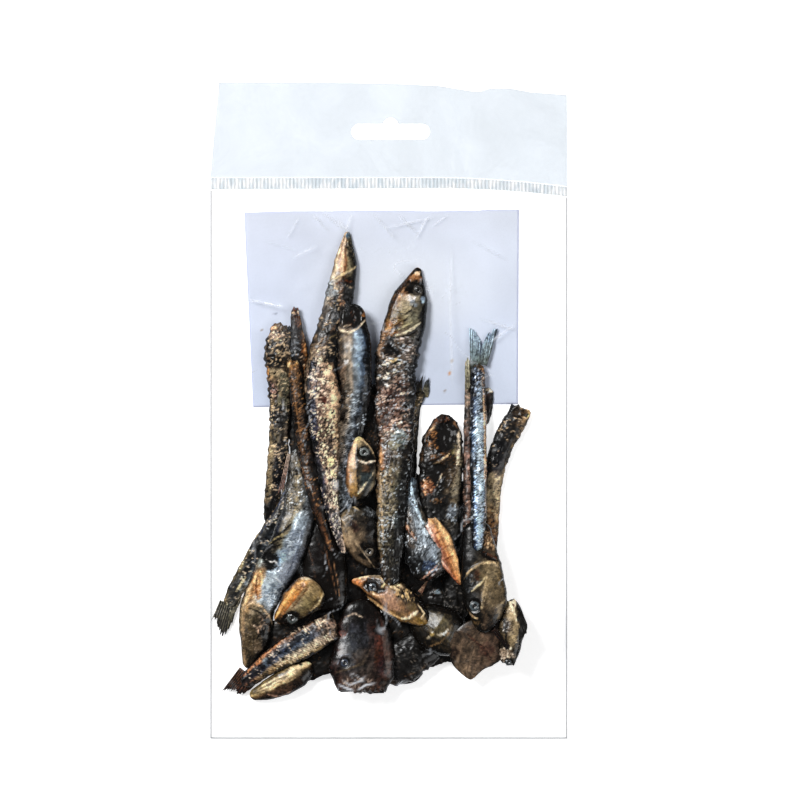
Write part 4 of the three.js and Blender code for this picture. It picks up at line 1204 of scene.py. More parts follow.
        Blot(7.5, 45.5, 1.3, 3, "#94562a", turn=-25, amount=0.8),
        Line(((7.5, 51), (5.5, 47), (2.5, 42), (1, 37.5)), 1.1, "#6e4220", height=0.2),
        Line(((9, 49.5), (6, 46.5), (3, 41.5)), 0.5, "#e0b080"),
        Blot(10, 46.5, 3.5, 3, "#0c0a09", height=-0.4, ragged=0.12),
        Eye(11.1, 45.7, 1.8, "#2a2724", "#050505", "#56524c"), Blot(13, 42, 0.8, 1.5, "#b4d4f8"),
        Blot(6, 40.5, 3, 3.5, "#b4b296", amount=0.8), Blot(8, 43, 2.5, 1.3, "#d4d4d6"),
        Blot(9.5, 40.5, 1.5, 1.1, "#8a94a4", amount=0.8),
        Line(((3, 37.5), (6, 36.5), (8.5, 38), (10, 41)), 0.4, "#3a3624", height=-0.2),
        Line(((1, 35), (4.5, 33.5), (7.5, 35), (10, 37.5)), 0.5, "#4a3c1c", height=-0.2),
        Crumb(2, 33.5, 3, 2, "#d8b070", "#6a4018", size=0.9, height=0.3, amount=0.8),
        Blot(0, 33, 1.5, 1.1, "#c87c30", height=0.2), Blot(1, 29.5, 2.5, 1.1, "#b8701f", height=0.2),
        Blot(0, 31, 1.1, 1, "#e0a860", height=0.2), Blot(9.5, 35, 2, 2.5, "#8a9480", turn=-20, amount=0.8),
        Line(((2.5, 28.5), (6, 29.5), (9, 31), (12, 33.5)), 0.9, "#e6eed6", height=0.6),
        Line(((3.5, 27.5), (7.5, 28.5), (10.5, 30.5)), 0.5, "#14110e", height=-0.3),
        Line(((3, 30.5), (6, 32), (9, 33.5)), 0.4, "#b8bc90", height=0.2),
        Blot(1, 22.5, 3.5, 1.5, "#080606", turn=-12, height=-1.8, ragged=0.2),
        Blot(-4, 24, 1.3, 3.5, "#d0b094", turn=-20, amount=0.8),
        Line(((2, 26.5), (5, 27.5), (8, 28)), 0.6, "#c8c4c8", height=0.4),
        Crumb(7.5, 23, 3, 4, "#e8e8ec", "#4a3c34", size=1.2, across=1.6),
        Crumb(1, 14.5, 5.5, 7, "#f4f4f0", "#44342c", size=1.5, height=0.7, across=1.8),
        Crumb(1.5, 5, 5.5, 7, "#f0e4dc", "#5a3228", size=1.3, height=0.6, across=2),
        Crumb(2.5, -5.5, 5, 7, "#ecdcd4", "#5c3428", size=1.2, height=0.6, across=2),
        # These two white dashes are painted highlights.
        Blot(-1, 12.5, 1.5, 0.8, "#f4f8f6", height=0.5), Blot(-0.5, 9.5, 1.5, 0.7, "#eef2f0", height=0.5),
        Blot(2, 19, 1.5, 0.8, "#c8b880", turn=20, height=0.4), Blot(-2, 0, 1.5, 4, "#6e3c2a", amount=0.7),
        Blot(-0.5, -5, 1.3, 2.5, "#7a4432", amount=0.7), Blot(3.5, -11, 3, 4, "#6f837e", height=0.4),
        Blot(2, -13, 2, 2, "#98a08c", height=0.3), Blot(4.5, -8, 1.5, 1.3, "#8ea4a8", height=0.3),
        Line(((1, -9.5), (3, -8), (6, -9)), 0.4, "#dfe8e0"), Blot(-2, -19, 1.5, 3.5, "#b06a30"),
        Blot(-0.5, -18.5, 1.3, 2.5, "#5a2c22"), Blot(-3, -17.5, 0.6, 3.5, "#e0a868"),
        Line(((11, 11.5), (10, -3.5), (9, -19), (7.5, -38)), 0.5, "#3a2e1c"),
        Line(((10, 8), (9.5, -5.5)), 0.4, "#9a7040"),
        Crumb(-0.5, -26.5, 2.5, 3, "#c4b890", "#5a4c34", height=0.3),
        Crumb(0, -38, 3, 7, "#b8b494", "#4c4a38", height=0.35, amount=0.8),
        Crumb(1, -52.5, 3, 7, "#8a8a70", "#333026", size=0.9, height=0.3, amount=0.6),
        Blot(3, -41.5, 1.1, 3, "#66787a", amount=0.7),
        Line(((-3, -22.5), (-3, -34), (-2, -49.5)), 0.5, "#b8a47a"),
        speck=("#d8e6f2", 0.4), torn_edge=0.2, bony=0.21, tone=0.94,
    ),
    fish(
        "orange_flake", 0.14, (5.3, 9.1, 6.9, 1.1),
        ((15.3, -41.3), (19.5, -49.3), (23.3, -57.7), (27.1, -66.1)),
        skin(
            "0: #9a7468, -0.6 #dcd0dc, -0.1 #c8a088, 0.3 #d0a468, #dcb47c",
            "0.4: #8a5648, -0.6 #d8cad4, -0.2 #985438, 0.1 #c08450, 0.6 #dcb880, #b48048",
            "1: #8a3c1c, 0 #c87838, #e8b068",
        ),
        Line(((13.5, -43.5), (17, -51), (22, -59)), 0.4, "#8a3a2a"),
        Line(((15, -43), (19, -50), (23, -57.5)), 0.4, "#b4603c"),
        Line(((16.5, -41.5), (20.5, -49.5), (24, -57)), 0.4, "#d07c38"),
        Line(((15.5, -47.5), (19.5, -46)), 0.3, "#7a3a34"),
        Line(((17, -50.5), (21, -48.5)), 0.3, "#9a4a34"), Line(((19, -53.5), (23, -51)), 0.3, "#a0502c"),
        Line(((20.5, -57), (24.5, -55)), 0.3, "#8a3c1c"), Line(((14.5, -45), (18, -43)), 0.3, "#9a6a6a"),
        ends=(End.TORN, End.ROUND), speck=("#efe6d2", 0.2), torn_edge=0.2, bony=1,
    ),
)

FINS: tuple[Fin, ...] = (
    Fin("blue_fish_tail_left", "blue_fish", ((31, 16.2), (34.4, 17.7)),
        ((30.6, 31.8), (32.5, 31.1), (35.1, 26.5)),
        "#56655c", "#8aa4c0", FinKind.TAIL, rays=8, ragged=0.04),
    Fin("blue_fish_tail_right", "blue_fish", ((34, 17.7), (37.4, 17)),
        ((35.9, 25.7), (38, 30.7), (38.8, 28.8), (40.3, 32.2), (41.6, 31.1)),
        "#5a6458", "#7a94b0", FinKind.TAIL, rays=8, ragged=0.08),
    Fin("pale_side_fin", "brown_edge", ((29.1, 7.8), (31, 8.6)),
        ((29.1, 16.2), (29.8, 22.3), (31, 20.4)), "#6a6e5c", "#8a9484", FinKind.LAID, rays=5, ragged=0.1),
    Fin("behind_fin_left", "fin_behind", ((9.2, 4.8), (12.3, 5.5)),
        ((10, 10.5), (11.9, 11.6), (13.2, 14.1)), "#5f5a38", "#26242c", FinKind.TAIL, rays=6, ragged=0.08),
    Fin("behind_fin_right", "fin_behind", ((11.9, 4.8), (15, 5.1)),
        ((13.8, 10.9), (15.4, 13), (15.7, 7.8)), "#6a6a48", "#3c4450", FinKind.TAIL, rays=6, ragged=0.08),
    Fin("left_tail_lower", "left_tail_fish", ((-64.3, -72.2), (-57.8, -74.5)),
        ((-68.1, -81.3), (-65.8, -80.6), (-63.9, -86.3), (-62, -85.2), (-60.1, -83.2)),
        "#5a6058", "#3a3a2c", FinKind.TAIL, rays=9, ragged=0.18),
    Fin("left_tail_upper", "left_tail_fish", ((-59.7, -72.2), (-55.9, -71.1)),
        ((-61.6, -83.6), (-59, -78.3), (-56.7, -73.7)),
        "#8f938a", "#4c5040", FinKind.TAIL, rays=7, ragged=0.12),
    Fin("tail_piece_upper", "tail_piece", ((-56.7, -97.7), (-51.7, -101.5)),
        ((-63.9, -107.3), (-60.1, -106.9), (-56.3, -106.9)),
        "#6a4026", "#4a2c1c", FinKind.TAIL, rays=8, ragged=0.08),
    Fin("tail_piece_lower", "tail_piece", ((-52.9, -99.3), (-49.4, -103.1)),
        ((-59, -107.6), (-56.3, -108.8), (-52.9, -106.5)),
        "#6a4028", "#4a2820", FinKind.TAIL, rays=6, ragged=0.1),
    Fin("side_flap", "right_head", ((48.5, -78.3), (50.4, -75.2)),
        ((49.6, -87.4), (52.3, -84.8), (52.7, -81.3), (50.8, -76.8)),
        "#3a3226", "#231e18", FinKind.LAID, rays=6, ragged=0.06),
    Fin("maroon_rod", "right_head", ((39, -83.6), (40.5, -82.5)),
        ((44.7, -90.9), (46.2, -89.3)), "#4a2a20", "#3a1a16", FinKind.LAID, rays=3, ragged=0.02),
    Fin("gill_blade", "left_tail_fish", ((-38.4, -15.8), (-37.2, -17)),
        ((-42.2, -31.8), (-39.9, -30.3)), "#8a8480", "#6a4a44", FinKind.LAID, rays=3, ragged=0.05),
    Fin("left_fin_rays", "grey_fish", ((11.1, -68.8), (12.7, -69.9)),
        ((19.5, -58.5), (18.4, -57)), "#b08070", "#d8b8a0", FinKind.LAID, rays=5, ragged=0.08),
)


def seal_foot(x: np.ndarray | float) -> np.ndarray | float:
    """The lower edge of the crimped seal, which is the pouch's upper edge.

    Args:
        x: Where, mm.

    Returns:
        Its height above the bag's middle, mm.
    """
    share = np.clip((x - HEADER_BEND_X) / (HALF_WIDTH - HEADER_BEND_X), 0, 1)
    seal = np.interp(x, (-HALF_WIDTH, HALF_WIDTH), SEAL_HEIGHTS)
    return HEADER_FOOT - HEADER_DROP * share**2 - seal - JOINT_GAP


class Heap:
    """The heap of fish as it fills: how high it stands over each cell of the bag."""

    def __init__(self) -> None:
        """Starts with the bare back of the bag."""
        self.heights = np.full((math.ceil(250 / CELL) + 1, math.ceil(136 / CELL) + 1), BACK)

    def cell(self, x: np.ndarray, y: np.ndarray) -> tuple[np.ndarray, np.ndarray]:
        """Which cells places are in.

        Args:
            x: Places, mm.
            y: Places, mm.

        Returns:
            Rows and columns.
        """
        row = np.clip(np.floor((y - BOTTOM) / CELL + 0.5), 0, self.heights.shape[0] - 1).astype(int)
        column = np.clip(np.floor((x + HALF_WIDTH) / CELL + 0.5), 0, self.heights.shape[1] - 1).astype(int)
        return row, column

    def height(self, x: np.ndarray, y: np.ndarray) -> np.ndarray:
        """How high the heap stands at places, mm."""
        return self.heights[self.cell(x, y)]

    def drop(self, spine: tuple[Point, ...], wide: np.ndarray, flat: float) -> np.ndarray:
        """Drops a fish on the heap. It bridges the dips and presses a little into what holds it.

        Args:
            spine: Its line in plan, mm.
            wide: Its widths at even steps, mm.
            flat: Its thickness as a share of its width.

        Returns:
            The height of its spine at even steps, mm.
        """
        curve = Curve(spine)
        count = math.ceil(curve.length / STATION_STEP)
        centres, travel = curve.at(np.linspace(0, curve.length, count + 1))
        widths = np.interp(np.linspace(0, 1, count + 1), np.linspace(0, 1, len(wide)), wide)
        sections = []
        for (cx, cy), (tx, ty), width in zip(centres, travel, widths):
            offset = np.arange(-width / 2, width / 2 + 1e-6, CELL / 2)
            rise = flat * width / 2 * np.sqrt(np.maximum(0, 1 - (2 * offset / width) ** 2))
            sections.append((*self.cell(cx - ty * offset, cy + tx * offset), rise))
        held = (float((self.heights[row, column] + rise).max()) for row, column, rise in sections)
        least = [max(BACK, height - PRESS_DEPTH) for height in held]
        line = list(least)
        for _ in range(SPINE_ROUNDS):
            for k in range(count + 1):
                line[k] = max(least[k], (line[max(k - 1, 0)] + line[min(k + 1, count)]) / 2)
        for (row, column, rise), height in zip(sections, line):
            np.maximum.at(self.heights, (row, column), height + rise)
        return np.array(line)


def make_object(
    name: str, points: np.ndarray, faces: list[tuple[int, ...]], layers: dict[str, np.ndarray]
) -> bpy.types.Object:
    """Makes a mesh object.

    Args:
        name: Its name.
        points: Its points, mm.
        faces: Its faces, as lists of point numbers.
        layers: Values at its points; three a point make a colour, one a plain number.

    Returns:
        The object.
    """
    mesh = bpy.data.meshes.new(name)
    mesh.from_pydata((points * MM).tolist(), [], faces)
    for layer, values in layers.items():
        if values.ndim == 2:
            attribute = mesh.attributes.new(layer, "FLOAT_COLOR", "POINT")
            full = np.concatenate([to_linear(values), np.ones((len(values), 1))], axis=1)
            attribute.data.foreach_set("color", full.astype(np.float32).ravel())
        else:
            mesh.attributes.new(layer, "FLOAT", "POINT").data.foreach_set("value", values.astype(np.float32))
    mesh.shade_smooth()
    mesh.update()
    made = bpy.data.objects.new(name, mesh)
    bpy.context.scene.collection.objects.link(made)
    LOG.info("%s: %d points, %d faces", name, len(points), len(faces))
    return made


def grid_faces(rows: int, columns: int, closed: bool = False, first: int = 0) -> list[tuple[int, ...]]:
    """Faces of a grid of points.

    Args:
        rows: Points one way.
        columns: Points the other way.
        closed: Whether the last column joins on to the first.
        first: The number of the grid's first point.

    Returns:
        The faces.
    """
    row = np.arange(rows - 1)[:, None] * columns + first
    start = np.arange(columns if closed else columns - 1)[None, :]
    stop = (start + 1) % columns
    quads = np.stack([row + start, row + stop, row + stop + columns, row + start + columns], axis=-1)
    return quads.reshape(-1, 4).tolist()


def thin_sheet(above: np.ndarray, below: np.ndarray) -> tuple[np.ndarray, list[tuple[int, ...]]]:
    """Closes a thin sheet between two grids of points.

    Args:
        above: The upper grid, mm.
        below: The lower grid, mm.

    Returns:
        The points and the faces.
    """
    rows, columns = above.shape[:2]
    count = rows * columns
    faces = grid_faces(rows, columns) + [face[::-1] for face in grid_faces(rows, columns, first=count)]
    rim = [*range(columns), *range(2 * columns - 1, count, columns)]
    rim += [*range(count - 2, count - columns - 1, -1), *range(count - 2 * columns, 0, -columns)]
    faces += [(a, a + count, b + count, b) for a, b in zip(rim, rim[1:] + rim[:1])]
    return np.concatenate([above.reshape(-1, 3), below.reshape(-1, 3)]), faces


def graded(colour: np.ndarray) -> np.ndarray:
    """Turns colours as the eye sees them to the skin's own: darker, greyer and with more contrast.

    Args:
        colour: sRGB colours.

    Returns:
        The skin's sRGB colours.
    """
    grey = np.maximum(colour.mean(axis=-1, keepdims=True), 0.02)
    deeper = np.clip(MIDDLE_TONE - DARKENING + (grey - MIDDLE_TONE) * CONTRAST, DEEPEST, 0.95)
    warm = smooth(-0.03, 0.03, colour[..., :1] - colour[..., 2:])
    toned = (grey + (colour - grey) * SATURATION) * (1 + warm * np.array(WARMTH))
    return np.clip(toned * deeper / grey, 0, 0.98)


class FishMaker:
    """Makes one fish's surface: sections along its spine, painted and raised."""

    def __init__(self, fish: Fish, seed: int, line: np.ndarray) -> None:
        """Takes the fish and how it lies.

        Args:
            fish: The fish.
            seed: Makes its texture its own.
            line: The height of its spine at even steps, mm.
        """
        self.fish, self.seed, self.line = fish, seed, line
        self.curve = Curve(fish.spine)

    def end_scale(self, away: np.ndarray, width: float, end: End) -> np.ndarray:
        """How far an end draws in.

        Args:
            away: How far places are from the end, mm.
            width: The fish's width at the end, mm.
            end: The kind of end.

        Returns:
            The share of the full width.
        """
        reach = min(width / 2, 3.5) if end is End.ROUND else 0.5
        share = np.clip(away / max(reach, 0.3), 0, 1)
        return np.sqrt(np.clip(1 - (1 - share) ** 2, 0.0, 1))

    def canvas(self) -> tuple[Canvas, np.ndarray, np.ndarray]:
        """Lays out the surface's places.

        Returns:
            The blank canvas, the places before relief, mm, and their outward directions.
        """
        fish, length = self.fish, self.curve.length
        inner = np.linspace(0.6, length - 0.6, max(8, round(length / ALONG_STEP)))
        s = np.concatenate([[0, 0.08, 0.3], inner, length - np.array([0.3, 0.08, 0])])
        share = s / length
        upper = max(16, round(1.3 * max(fish.wide) / AROUND_STEP))
        under = np.linspace(math.pi, 2 * math.pi, UNDER_STEPS + 2)[1:-1]
        angle = np.concatenate([np.linspace(0, math.pi, upper), under])
        centre, travel = self.curve.at(s)
        wide = fish.width_at(share)
        scale = self.end_scale(s, wide[0], fish.ends[0]) * self.end_scale(length - s, wide[-1], fish.ends[1])
        self.fleshy = smooth(fish.bony - 0.02, fish.bony + 0.05, share) if fish.bony else np.ones(len(s))
        sides = []
        for side in (0, 1):
            slow, quick = (noise(s / size, np.zeros(1), self.seed + side, 2) for size in (5, 1.3))
            edge = 0.04 * slow + (0.015 + (0.03 + 0.12 * fish.torn_edge) * self.fleshy) * quick
            sides.append(wide / 2 * scale * (1 + edge))
        cos, sin = np.cos(angle)[None, :], np.sin(angle)[None, :]
        lateral = np.where(cos > 0, sides[0][:, None], sides[1][:, None]) * cos
        height = fish.flat * (wide / 2 * scale)[:, None] * np.sign(sin) * np.abs(sin) ** 0.82
        along = s[:, None] + np.zeros_like(lateral)
        for end, start, away in ((fish.ends[0], -1, s), (fish.ends[1], 1, length - s)):
            if end is End.TORN:
                ragged = 1.1 * noise(lateral / 1.2, height / 1.2, self.seed + 11, 2) + 0.5
                along -= start * ragged * smooth(4.0, 0.0, away)[:, None]
        shift = (along - s[:, None])[..., None] * travel[:, None, :]
        normal = np.stack([-travel[:, 1], travel[:, 0]], axis=-1)
        plan = centre[:, None, :] + shift + lateral[..., None] * normal[:, None, :]
        spine_z = np.interp(share, np.linspace(0, 1, len(self.line)), self.line)
        points = np.concatenate([plan, (spine_z[:, None] + height)[..., None]], axis=-1)
        shape = lateral.shape
        up = np.broadcast_to(sin, shape)[..., None]
        out = np.concatenate([cos[..., None] * normal[:, None, :] * 0.8, up], axis=-1)
        canvas = Canvas(
            x=plan[..., 0], y=plan[..., 1], s=along, across=lateral * 1.0,
            top=np.broadcast_to(np.clip(sin, 0, 1), shape).copy(),
            colour=np.zeros((*shape, 3)), relief=np.zeros(shape), seed=self.seed,
        )
        self.share, self.cos = share, np.broadcast_to(cos, shape)
        return canvas, points, out

    def paint(self, canvas: Canvas) -> None:
        """Paints the skin: its bands, scale rows, fine texture and marks, with painted highlights, painted
        shade in its cracks and painted shade along its sides.

        Args:
            canvas: The surface.
        """
        fish, seed = self.fish, self.seed
        wander = 0.13 * noise(canvas.s / 4.0, canvas.across / 2.0, seed + 20, 2)
        blur = 0.03 * noise(canvas.s / 3, canvas.across / 2, seed + 21, 2)
        along = np.clip(self.share[:, None] + blur, 0, 1)
        at = np.clip(self.cos + wander, -1, 1)
        stops = [stop for stop, _ in fish.bands]
        for k, (stop, bands) in enumerate(fish.bands):
            here = blended(bands, at)
            if k == 0:
                canvas.colour += here
            else:
                canvas.lay(smooth(stops[k - 1], stop, along), here)
        self.scale_rows(canvas)
        colour, amount = fish.speck
        fleshy = self.fleshy[:, None]
        lumps = (0.12 + 1.9 * amount) * (0.3 + 0.7 * fleshy)
        canvas.relief += 0.26 * lumps * noise(canvas.s / 2.6, canvas.across / 1.6, seed + 22, 2)
        canvas.relief += 0.1 * lumps * noise(canvas.s / 0.9, canvas.across / 0.7, seed + 23, 2)
        folds = np.abs(noise(canvas.across / 1.1, canvas.s / 7.0, seed + 24, 2))
        canvas.relief += 0.25 * lumps * smooth(0.35, 0.0, folds)
        patch = noise(canvas.s / 2.2, canvas.across / 1.3, seed + 25, 3)
        canvas.colour *= (1 + (0.2 + 0.14 * fleshy) * patch)[..., None]
        for mark in fish.marks:
            mark.paint(canvas)
        # Painted highlights: thin pale streaks in the fish's glint colour. Painted shade: near-black cracks.
        # Both also raise or sink the relief a little, and neither shows in sunk holes.
        where = noise(canvas.across / 3.1, canvas.s / 2.7, seed + 29, 2)
        thread = np.abs(noise(canvas.across / 1.9, canvas.s / 0.8, seed + 27, 2))
        crack = np.abs(noise(canvas.across / 1.7, canvas.s / 0.75, seed + 31, 2))
        open_skin = (0.25 + 0.75 * fleshy) * smooth(-0.9, -0.5, canvas.relief)
        glint = smooth(0.17, 0.05, thread) * smooth(-0.15, 0.35, where + 1.5 * amount - 0.45) * open_skin
        shaded_crack = smooth(0.18, 0.05, crack) * smooth(-0.2, 0.4, 1.2 * amount - where) * open_skin
        canvas.lay(0.85 * shaded_crack, np.array([0.06, 0.05, 0.045]))
        canvas.lay(0.75 * glint * smooth(0.0, 0.3, canvas.top), srgb(colour))
        canvas.relief += 0.12 * (glint - shaded_crack)
        fine = noise(canvas.s / 0.5, canvas.across / 0.5, seed + 28)
        canvas.colour *= (1 + 0.16 * fine)[..., None]
        # Painted shade: the colour darkens along both sides of the fish, and is also scaled by the fish's
        # tone.
        edge = smooth(0.8, 1.0, np.abs(self.cos))
        canvas.colour *= fish.tone * (1 - 0.35 * edge)[..., None]

    def scale_rows(self, canvas: Canvas) -> None:
        """Paints and raises the rows of scales.

        Args:
            canvas: The surface.
        """
        scales, seed = self.fish.scales, self.seed
        if scales.rows is Rows.NONE:
            return
        if scales.rows is Rows.CHEVRON:
            slip = 0.8 * noise(canvas.s / 3, canvas.across / 3, seed + 30)
            wave = np.sin(math.tau * (canvas.s + 0.9 * np.abs(canvas.across)) / scales.pitch + slip)
        else:
            one = np.sin(math.tau * (canvas.s + 0.8 * canvas.across) / scales.pitch)
            other = np.sin(math.tau * (canvas.s - 0.8 * canvas.across) / scales.pitch)
            wave = np.minimum(one, other) + 0.35
        canvas.colour *= (1 + 0.42 * scales.strength * wave)[..., None]
        canvas.relief += 0.12 * scales.strength * wave

    def make(self) -> tuple[bpy.types.Object, BVHTree]:
        """Makes the fish.

        Returns:
            The object, and its surface to set things on, mm.
        """
        canvas, points, out = self.canvas()
        self.paint(canvas)
        fade = np.minimum(1, np.minimum(np.arange(len(points)), np.arange(len(points))[::-1]) / 4)[:, None]
        points = points + out * (canvas.relief * fade * (0.25 + 0.75 * canvas.top))[..., None]
        points[..., 2] = np.maximum(points[..., 2], BACK + 0.02)
        rows, columns = points.shape[:2]
        flat = np.concatenate([points.reshape(-1, 3), points[:1].mean(axis=1), points[-1:].mean(axis=1)])
        faces = grid_faces(rows, columns, closed=True)
        around = list(range(columns))
        faces += [(rows * columns, (k + 1) % columns, k) for k in around]
        last = (rows - 1) * columns
        faces += [(rows * columns + 1, last + k, last + (k + 1) % columns) for k in around]
        tips = [canvas.colour[end].mean(axis=0, keepdims=True) for end in (0, -1)]
        colour = graded(np.concatenate([canvas.colour.reshape(-1, 3), *tips]))
        cool = np.clip((colour[:, 2] - colour[:, 0]) * 5 + 0.05, 0, 1)
        light = colour.mean(axis=1)
        shine = np.clip(cool * light * 1.3, 0, 0.7)
        rough = 0.34 + 0.25 * light + 0.16 * noise(flat[:, 0] / 1.7, flat[:, 1] / 1.7, self.seed + 40, 2)
        bone = 1 - np.repeat(self.fleshy, columns)
        rough -= 0.14 * np.concatenate([bone, [0, 0]])
        sunk = np.concatenate([canvas.relief.ravel(), [0, 0]]) < -0.7
        rough = np.where(sunk, 0.95, np.clip(rough, 0.2, 0.9))
        made = make_object(self.fish.name, flat, faces, {"tint": colour, "silver": shine, "rough": rough})
        return made, BVHTree.FromPolygons(flat.tolist(), faces)


def make_eye(name: str, eye: Eye, surface: BVHTree) -> bpy.types.Object:
    """Makes a shrunken eyeball on a fish's head.

    Args:
        name: Its name.
        eye: The eye.
        surface: The fish's surface, mm.

    Returns:
        The object.
    """
    hit, *_ = surface.ray_cast(Vector((eye.x, eye.y, 60)), Vector((0, 0, -1)))
    middle = np.array(hit)
    rings, columns = 12, 36
    radius = 0.92 * eye.radius
    share = np.linspace(0, 1, rings)[1:, None]
    angle = np.linspace(0, math.tau, columns, endpoint=False)[None, :]
    wobble = 1 + 0.05 * noise(np.cos(angle) * 2 + middle[0], np.sin(angle) * 2, 77)
    x = radius * share * np.cos(angle) * wobble
    y = radius * share * np.sin(angle) * wobble
    dome = 0.34 * radius * np.sqrt(np.clip(1 - share**2, 0, 1)) + 0 * angle
    dome -= 0.2 * radius * smooth(0.42, 0.3, share) * 0.6
    dome += 0.06 * radius * noise(x * 1.5 + 3, y * 1.5, 78, 2)
    points = np.stack([x, y, dome - 0.1 * radius], axis=-1).reshape(-1, 3)
    cap = points[:columns].mean(axis=0, keepdims=True)
    under = np.array([[0, 0, -0.7 * radius]])
    flat = np.concatenate([points, cap, under]) + middle
    faces = [(b, c, d, a) for a, b, c, d in grid_faces(rings - 1, columns, closed=True)]
    crown, base = len(points), len(points) + 1
    last = (rings - 2) * columns
    faces += [(crown, k, (k + 1) % columns) for k in range(columns)]
    faces += [(base, last + (k + 1) % columns, last + k) for k in range(columns)]
    far = np.concatenate([np.broadcast_to(share, x.shape).ravel(), [0, 1]])
    rings_of_colour = ((0, eye.pupil), (0.42, eye.pupil), (0.52, eye.ring), (0.82, eye.ring), (0.98, eye.rim))
    colour = blended((*rings_of_colour, (1, eye.rim)), far)
    colour *= (1 + 0.2 * noise(flat[:, 0] / 0.5, flat[:, 1] / 0.5, 79))[:, None]
    return make_object(name, flat, faces, {"tint": colour})


class FinMaker:
    """Makes fins and thin blades."""

    def __init__(self, heap: Heap, ends: dict[str, float]) -> None:
        """Takes what they lie on.

        Args:
            heap: The heap, filled.
            ends: The height of each fish's far end, mm.
        """
        self.heap, self.ends = heap, ends

    @staticmethod
    def spread(points: tuple[Point, ...], count: int) -> np.ndarray:
        """Even places along a line of straight runs.

        Args:
            points: The line, mm.
            count: How many places.

        Returns:
            The places, mm.
        """
        line = np.array(points, dtype=float)
        far = np.concatenate([[0], np.cumsum(np.hypot(*np.diff(line, axis=0).T))])
        even = np.linspace(0, far[-1], count)
        return np.stack([np.interp(even, far, line[:, k]) for k in (0, 1)], axis=-1)

    def make(self, fin: Fin, seed: int) -> bpy.types.Object:
        """Makes a fin as a thin closed sheet with rays.

        Args:
            fin: The fin.
            seed: Makes it its own.

        Returns:
            The object.
        """
        columns, rows = 6 * fin.rays + 1, 34
        share = np.linspace(0, 1, columns)
        base, tip = self.spread(fin.base, columns), self.spread(fin.tip, columns)
        torn = 0.8 * noise(share * fin.rays * 1.3, np.zeros(1), seed, 2)
        comb = fin.ragged * (np.abs(np.sin(math.pi * fin.rays * share)) + torn)
        t = np.linspace(0, 1, rows)[:, None] * (1 - np.clip(comb, 0, 0.5))[None, :]
        plan = base[None] + (tip - base)[None] * t[..., None]
        if fin.kind is FinKind.TAIL:
            low = self.ends[fin.of]
            ground = self.heap.height(tip[:, 0], tip[:, 1]).mean() + 0.3
            high = max(ground, low - 1.2)
        else:
            low = self.heap.height(base[:, 0], base[:, 1]).max() + 0.1
            high = self.heap.height(tip[:, 0], tip[:, 1]).max() + 0.1
        ripple = np.sin(math.tau * fin.rays * share)[None, :]
        z = low + (high - low) * t + 0.09 * ripple + 0.3 * noise(plan[..., 0] / 3, plan[..., 1] / 3, seed + 1)
        thick = (0.3 - 0.2 * t) * (1 + 0.4 * ripple)
        above, below = (
            np.concatenate([plan, (z + side * thick / 2)[..., None]], axis=-1) for side in (1, -1)
        )
        points, faces = thin_sheet(above, below)
        mix = np.clip(t + 0.15 * noise(plan[..., 0] / 1.5, plan[..., 1] / 1.5, seed + 2, 2), 0, 1)[..., None]
        colour = srgb(fin.base_colour) * (1 - mix) + srgb(fin.tip_colour) * mix
        grain = 1 + 0.3 * noise(plan[..., 0] / 0.6, plan[..., 1] / 0.6, seed + 3, 2)
        colour = (colour * ((1 + 0.4 * ripple) * grain)[..., None]).reshape(-1, 3)
        colour = graded(np.concatenate([colour, colour]))
        light = colour.mean(axis=1)
        layers = {"tint": colour, "silver": 0.2 * light, "rough": 0.35 + 0.2 * light}
        return make_object(fin.name, points, faces, layers)


@dataclass(frozen=True)
class Card:
    """The pale paper card under the upper part of the heap."""

    corners: tuple[Point, Point, Point, Point] = CARD_CORNERS
    colours: tuple[str, str, str, str] = CARD_COLOURS
    lift: float = 0.12
    steps: int = 110

    def make(self) -> bpy.types.Object:
        """Makes the card as a thin, slightly wavy sheet.

        Returns:
            The object.
        """
        u, v = np.meshgrid(np.linspace(0, 1, self.steps), np.linspace(0, 1, self.steps))
        weights = [(1 - u) * (1 - v), u * (1 - v), u * v, (1 - u) * v]
        plan = sum(weight[..., None] * np.array(corner) for weight, corner in zip(weights, self.corners))
        plan[..., 1] += 0.35 * noise(plan[..., 0] / 14, plan[..., 1] * 0, 61, 2) * v
        colour = sum(weight[..., None] * srgb(tone) for weight, tone in zip(weights, self.colours))
        cloud = noise(plan[..., 0] / 16, plan[..., 1] / 16, 62, 3)
        colour = colour * (1 + 0.03 * cloud)[..., None]
        light = 0.8 * smooth(0.35, 0.05, np.hypot((u - 0.62) / 1.3, v - 0.62))
        colour += (srgb(CARD_LIGHT) - colour) * light[..., None]
        edge = np.minimum(np.minimum(u, 1 - u) * 105, np.minimum(v, 1 - v) * 74)
        colour += (srgb(CARD_EDGE) - colour) * (0.7 * smooth(0.9, 0.2, edge))[..., None]
        for x, y, radius, tone in CARD_SPECKS:
            far = np.hypot(plan[..., 0] - x, plan[..., 1] - y)
            colour += (srgb(tone) - colour) * smooth(radius + 0.5, radius, far)[..., None]
        z = self.lift + 0.07 * noise(plan[..., 0] / 9, plan[..., 1] / 9, 63, 2)
        above, below = (np.concatenate([plan, (z + side)[..., None]], axis=-1) for side in (0.1, -0.02))
        points, faces = thin_sheet(above, below)
        tint = np.concatenate([colour.reshape(-1, 3)] * 2)
        return make_object("backing_card", points, faces, {"tint": tint})


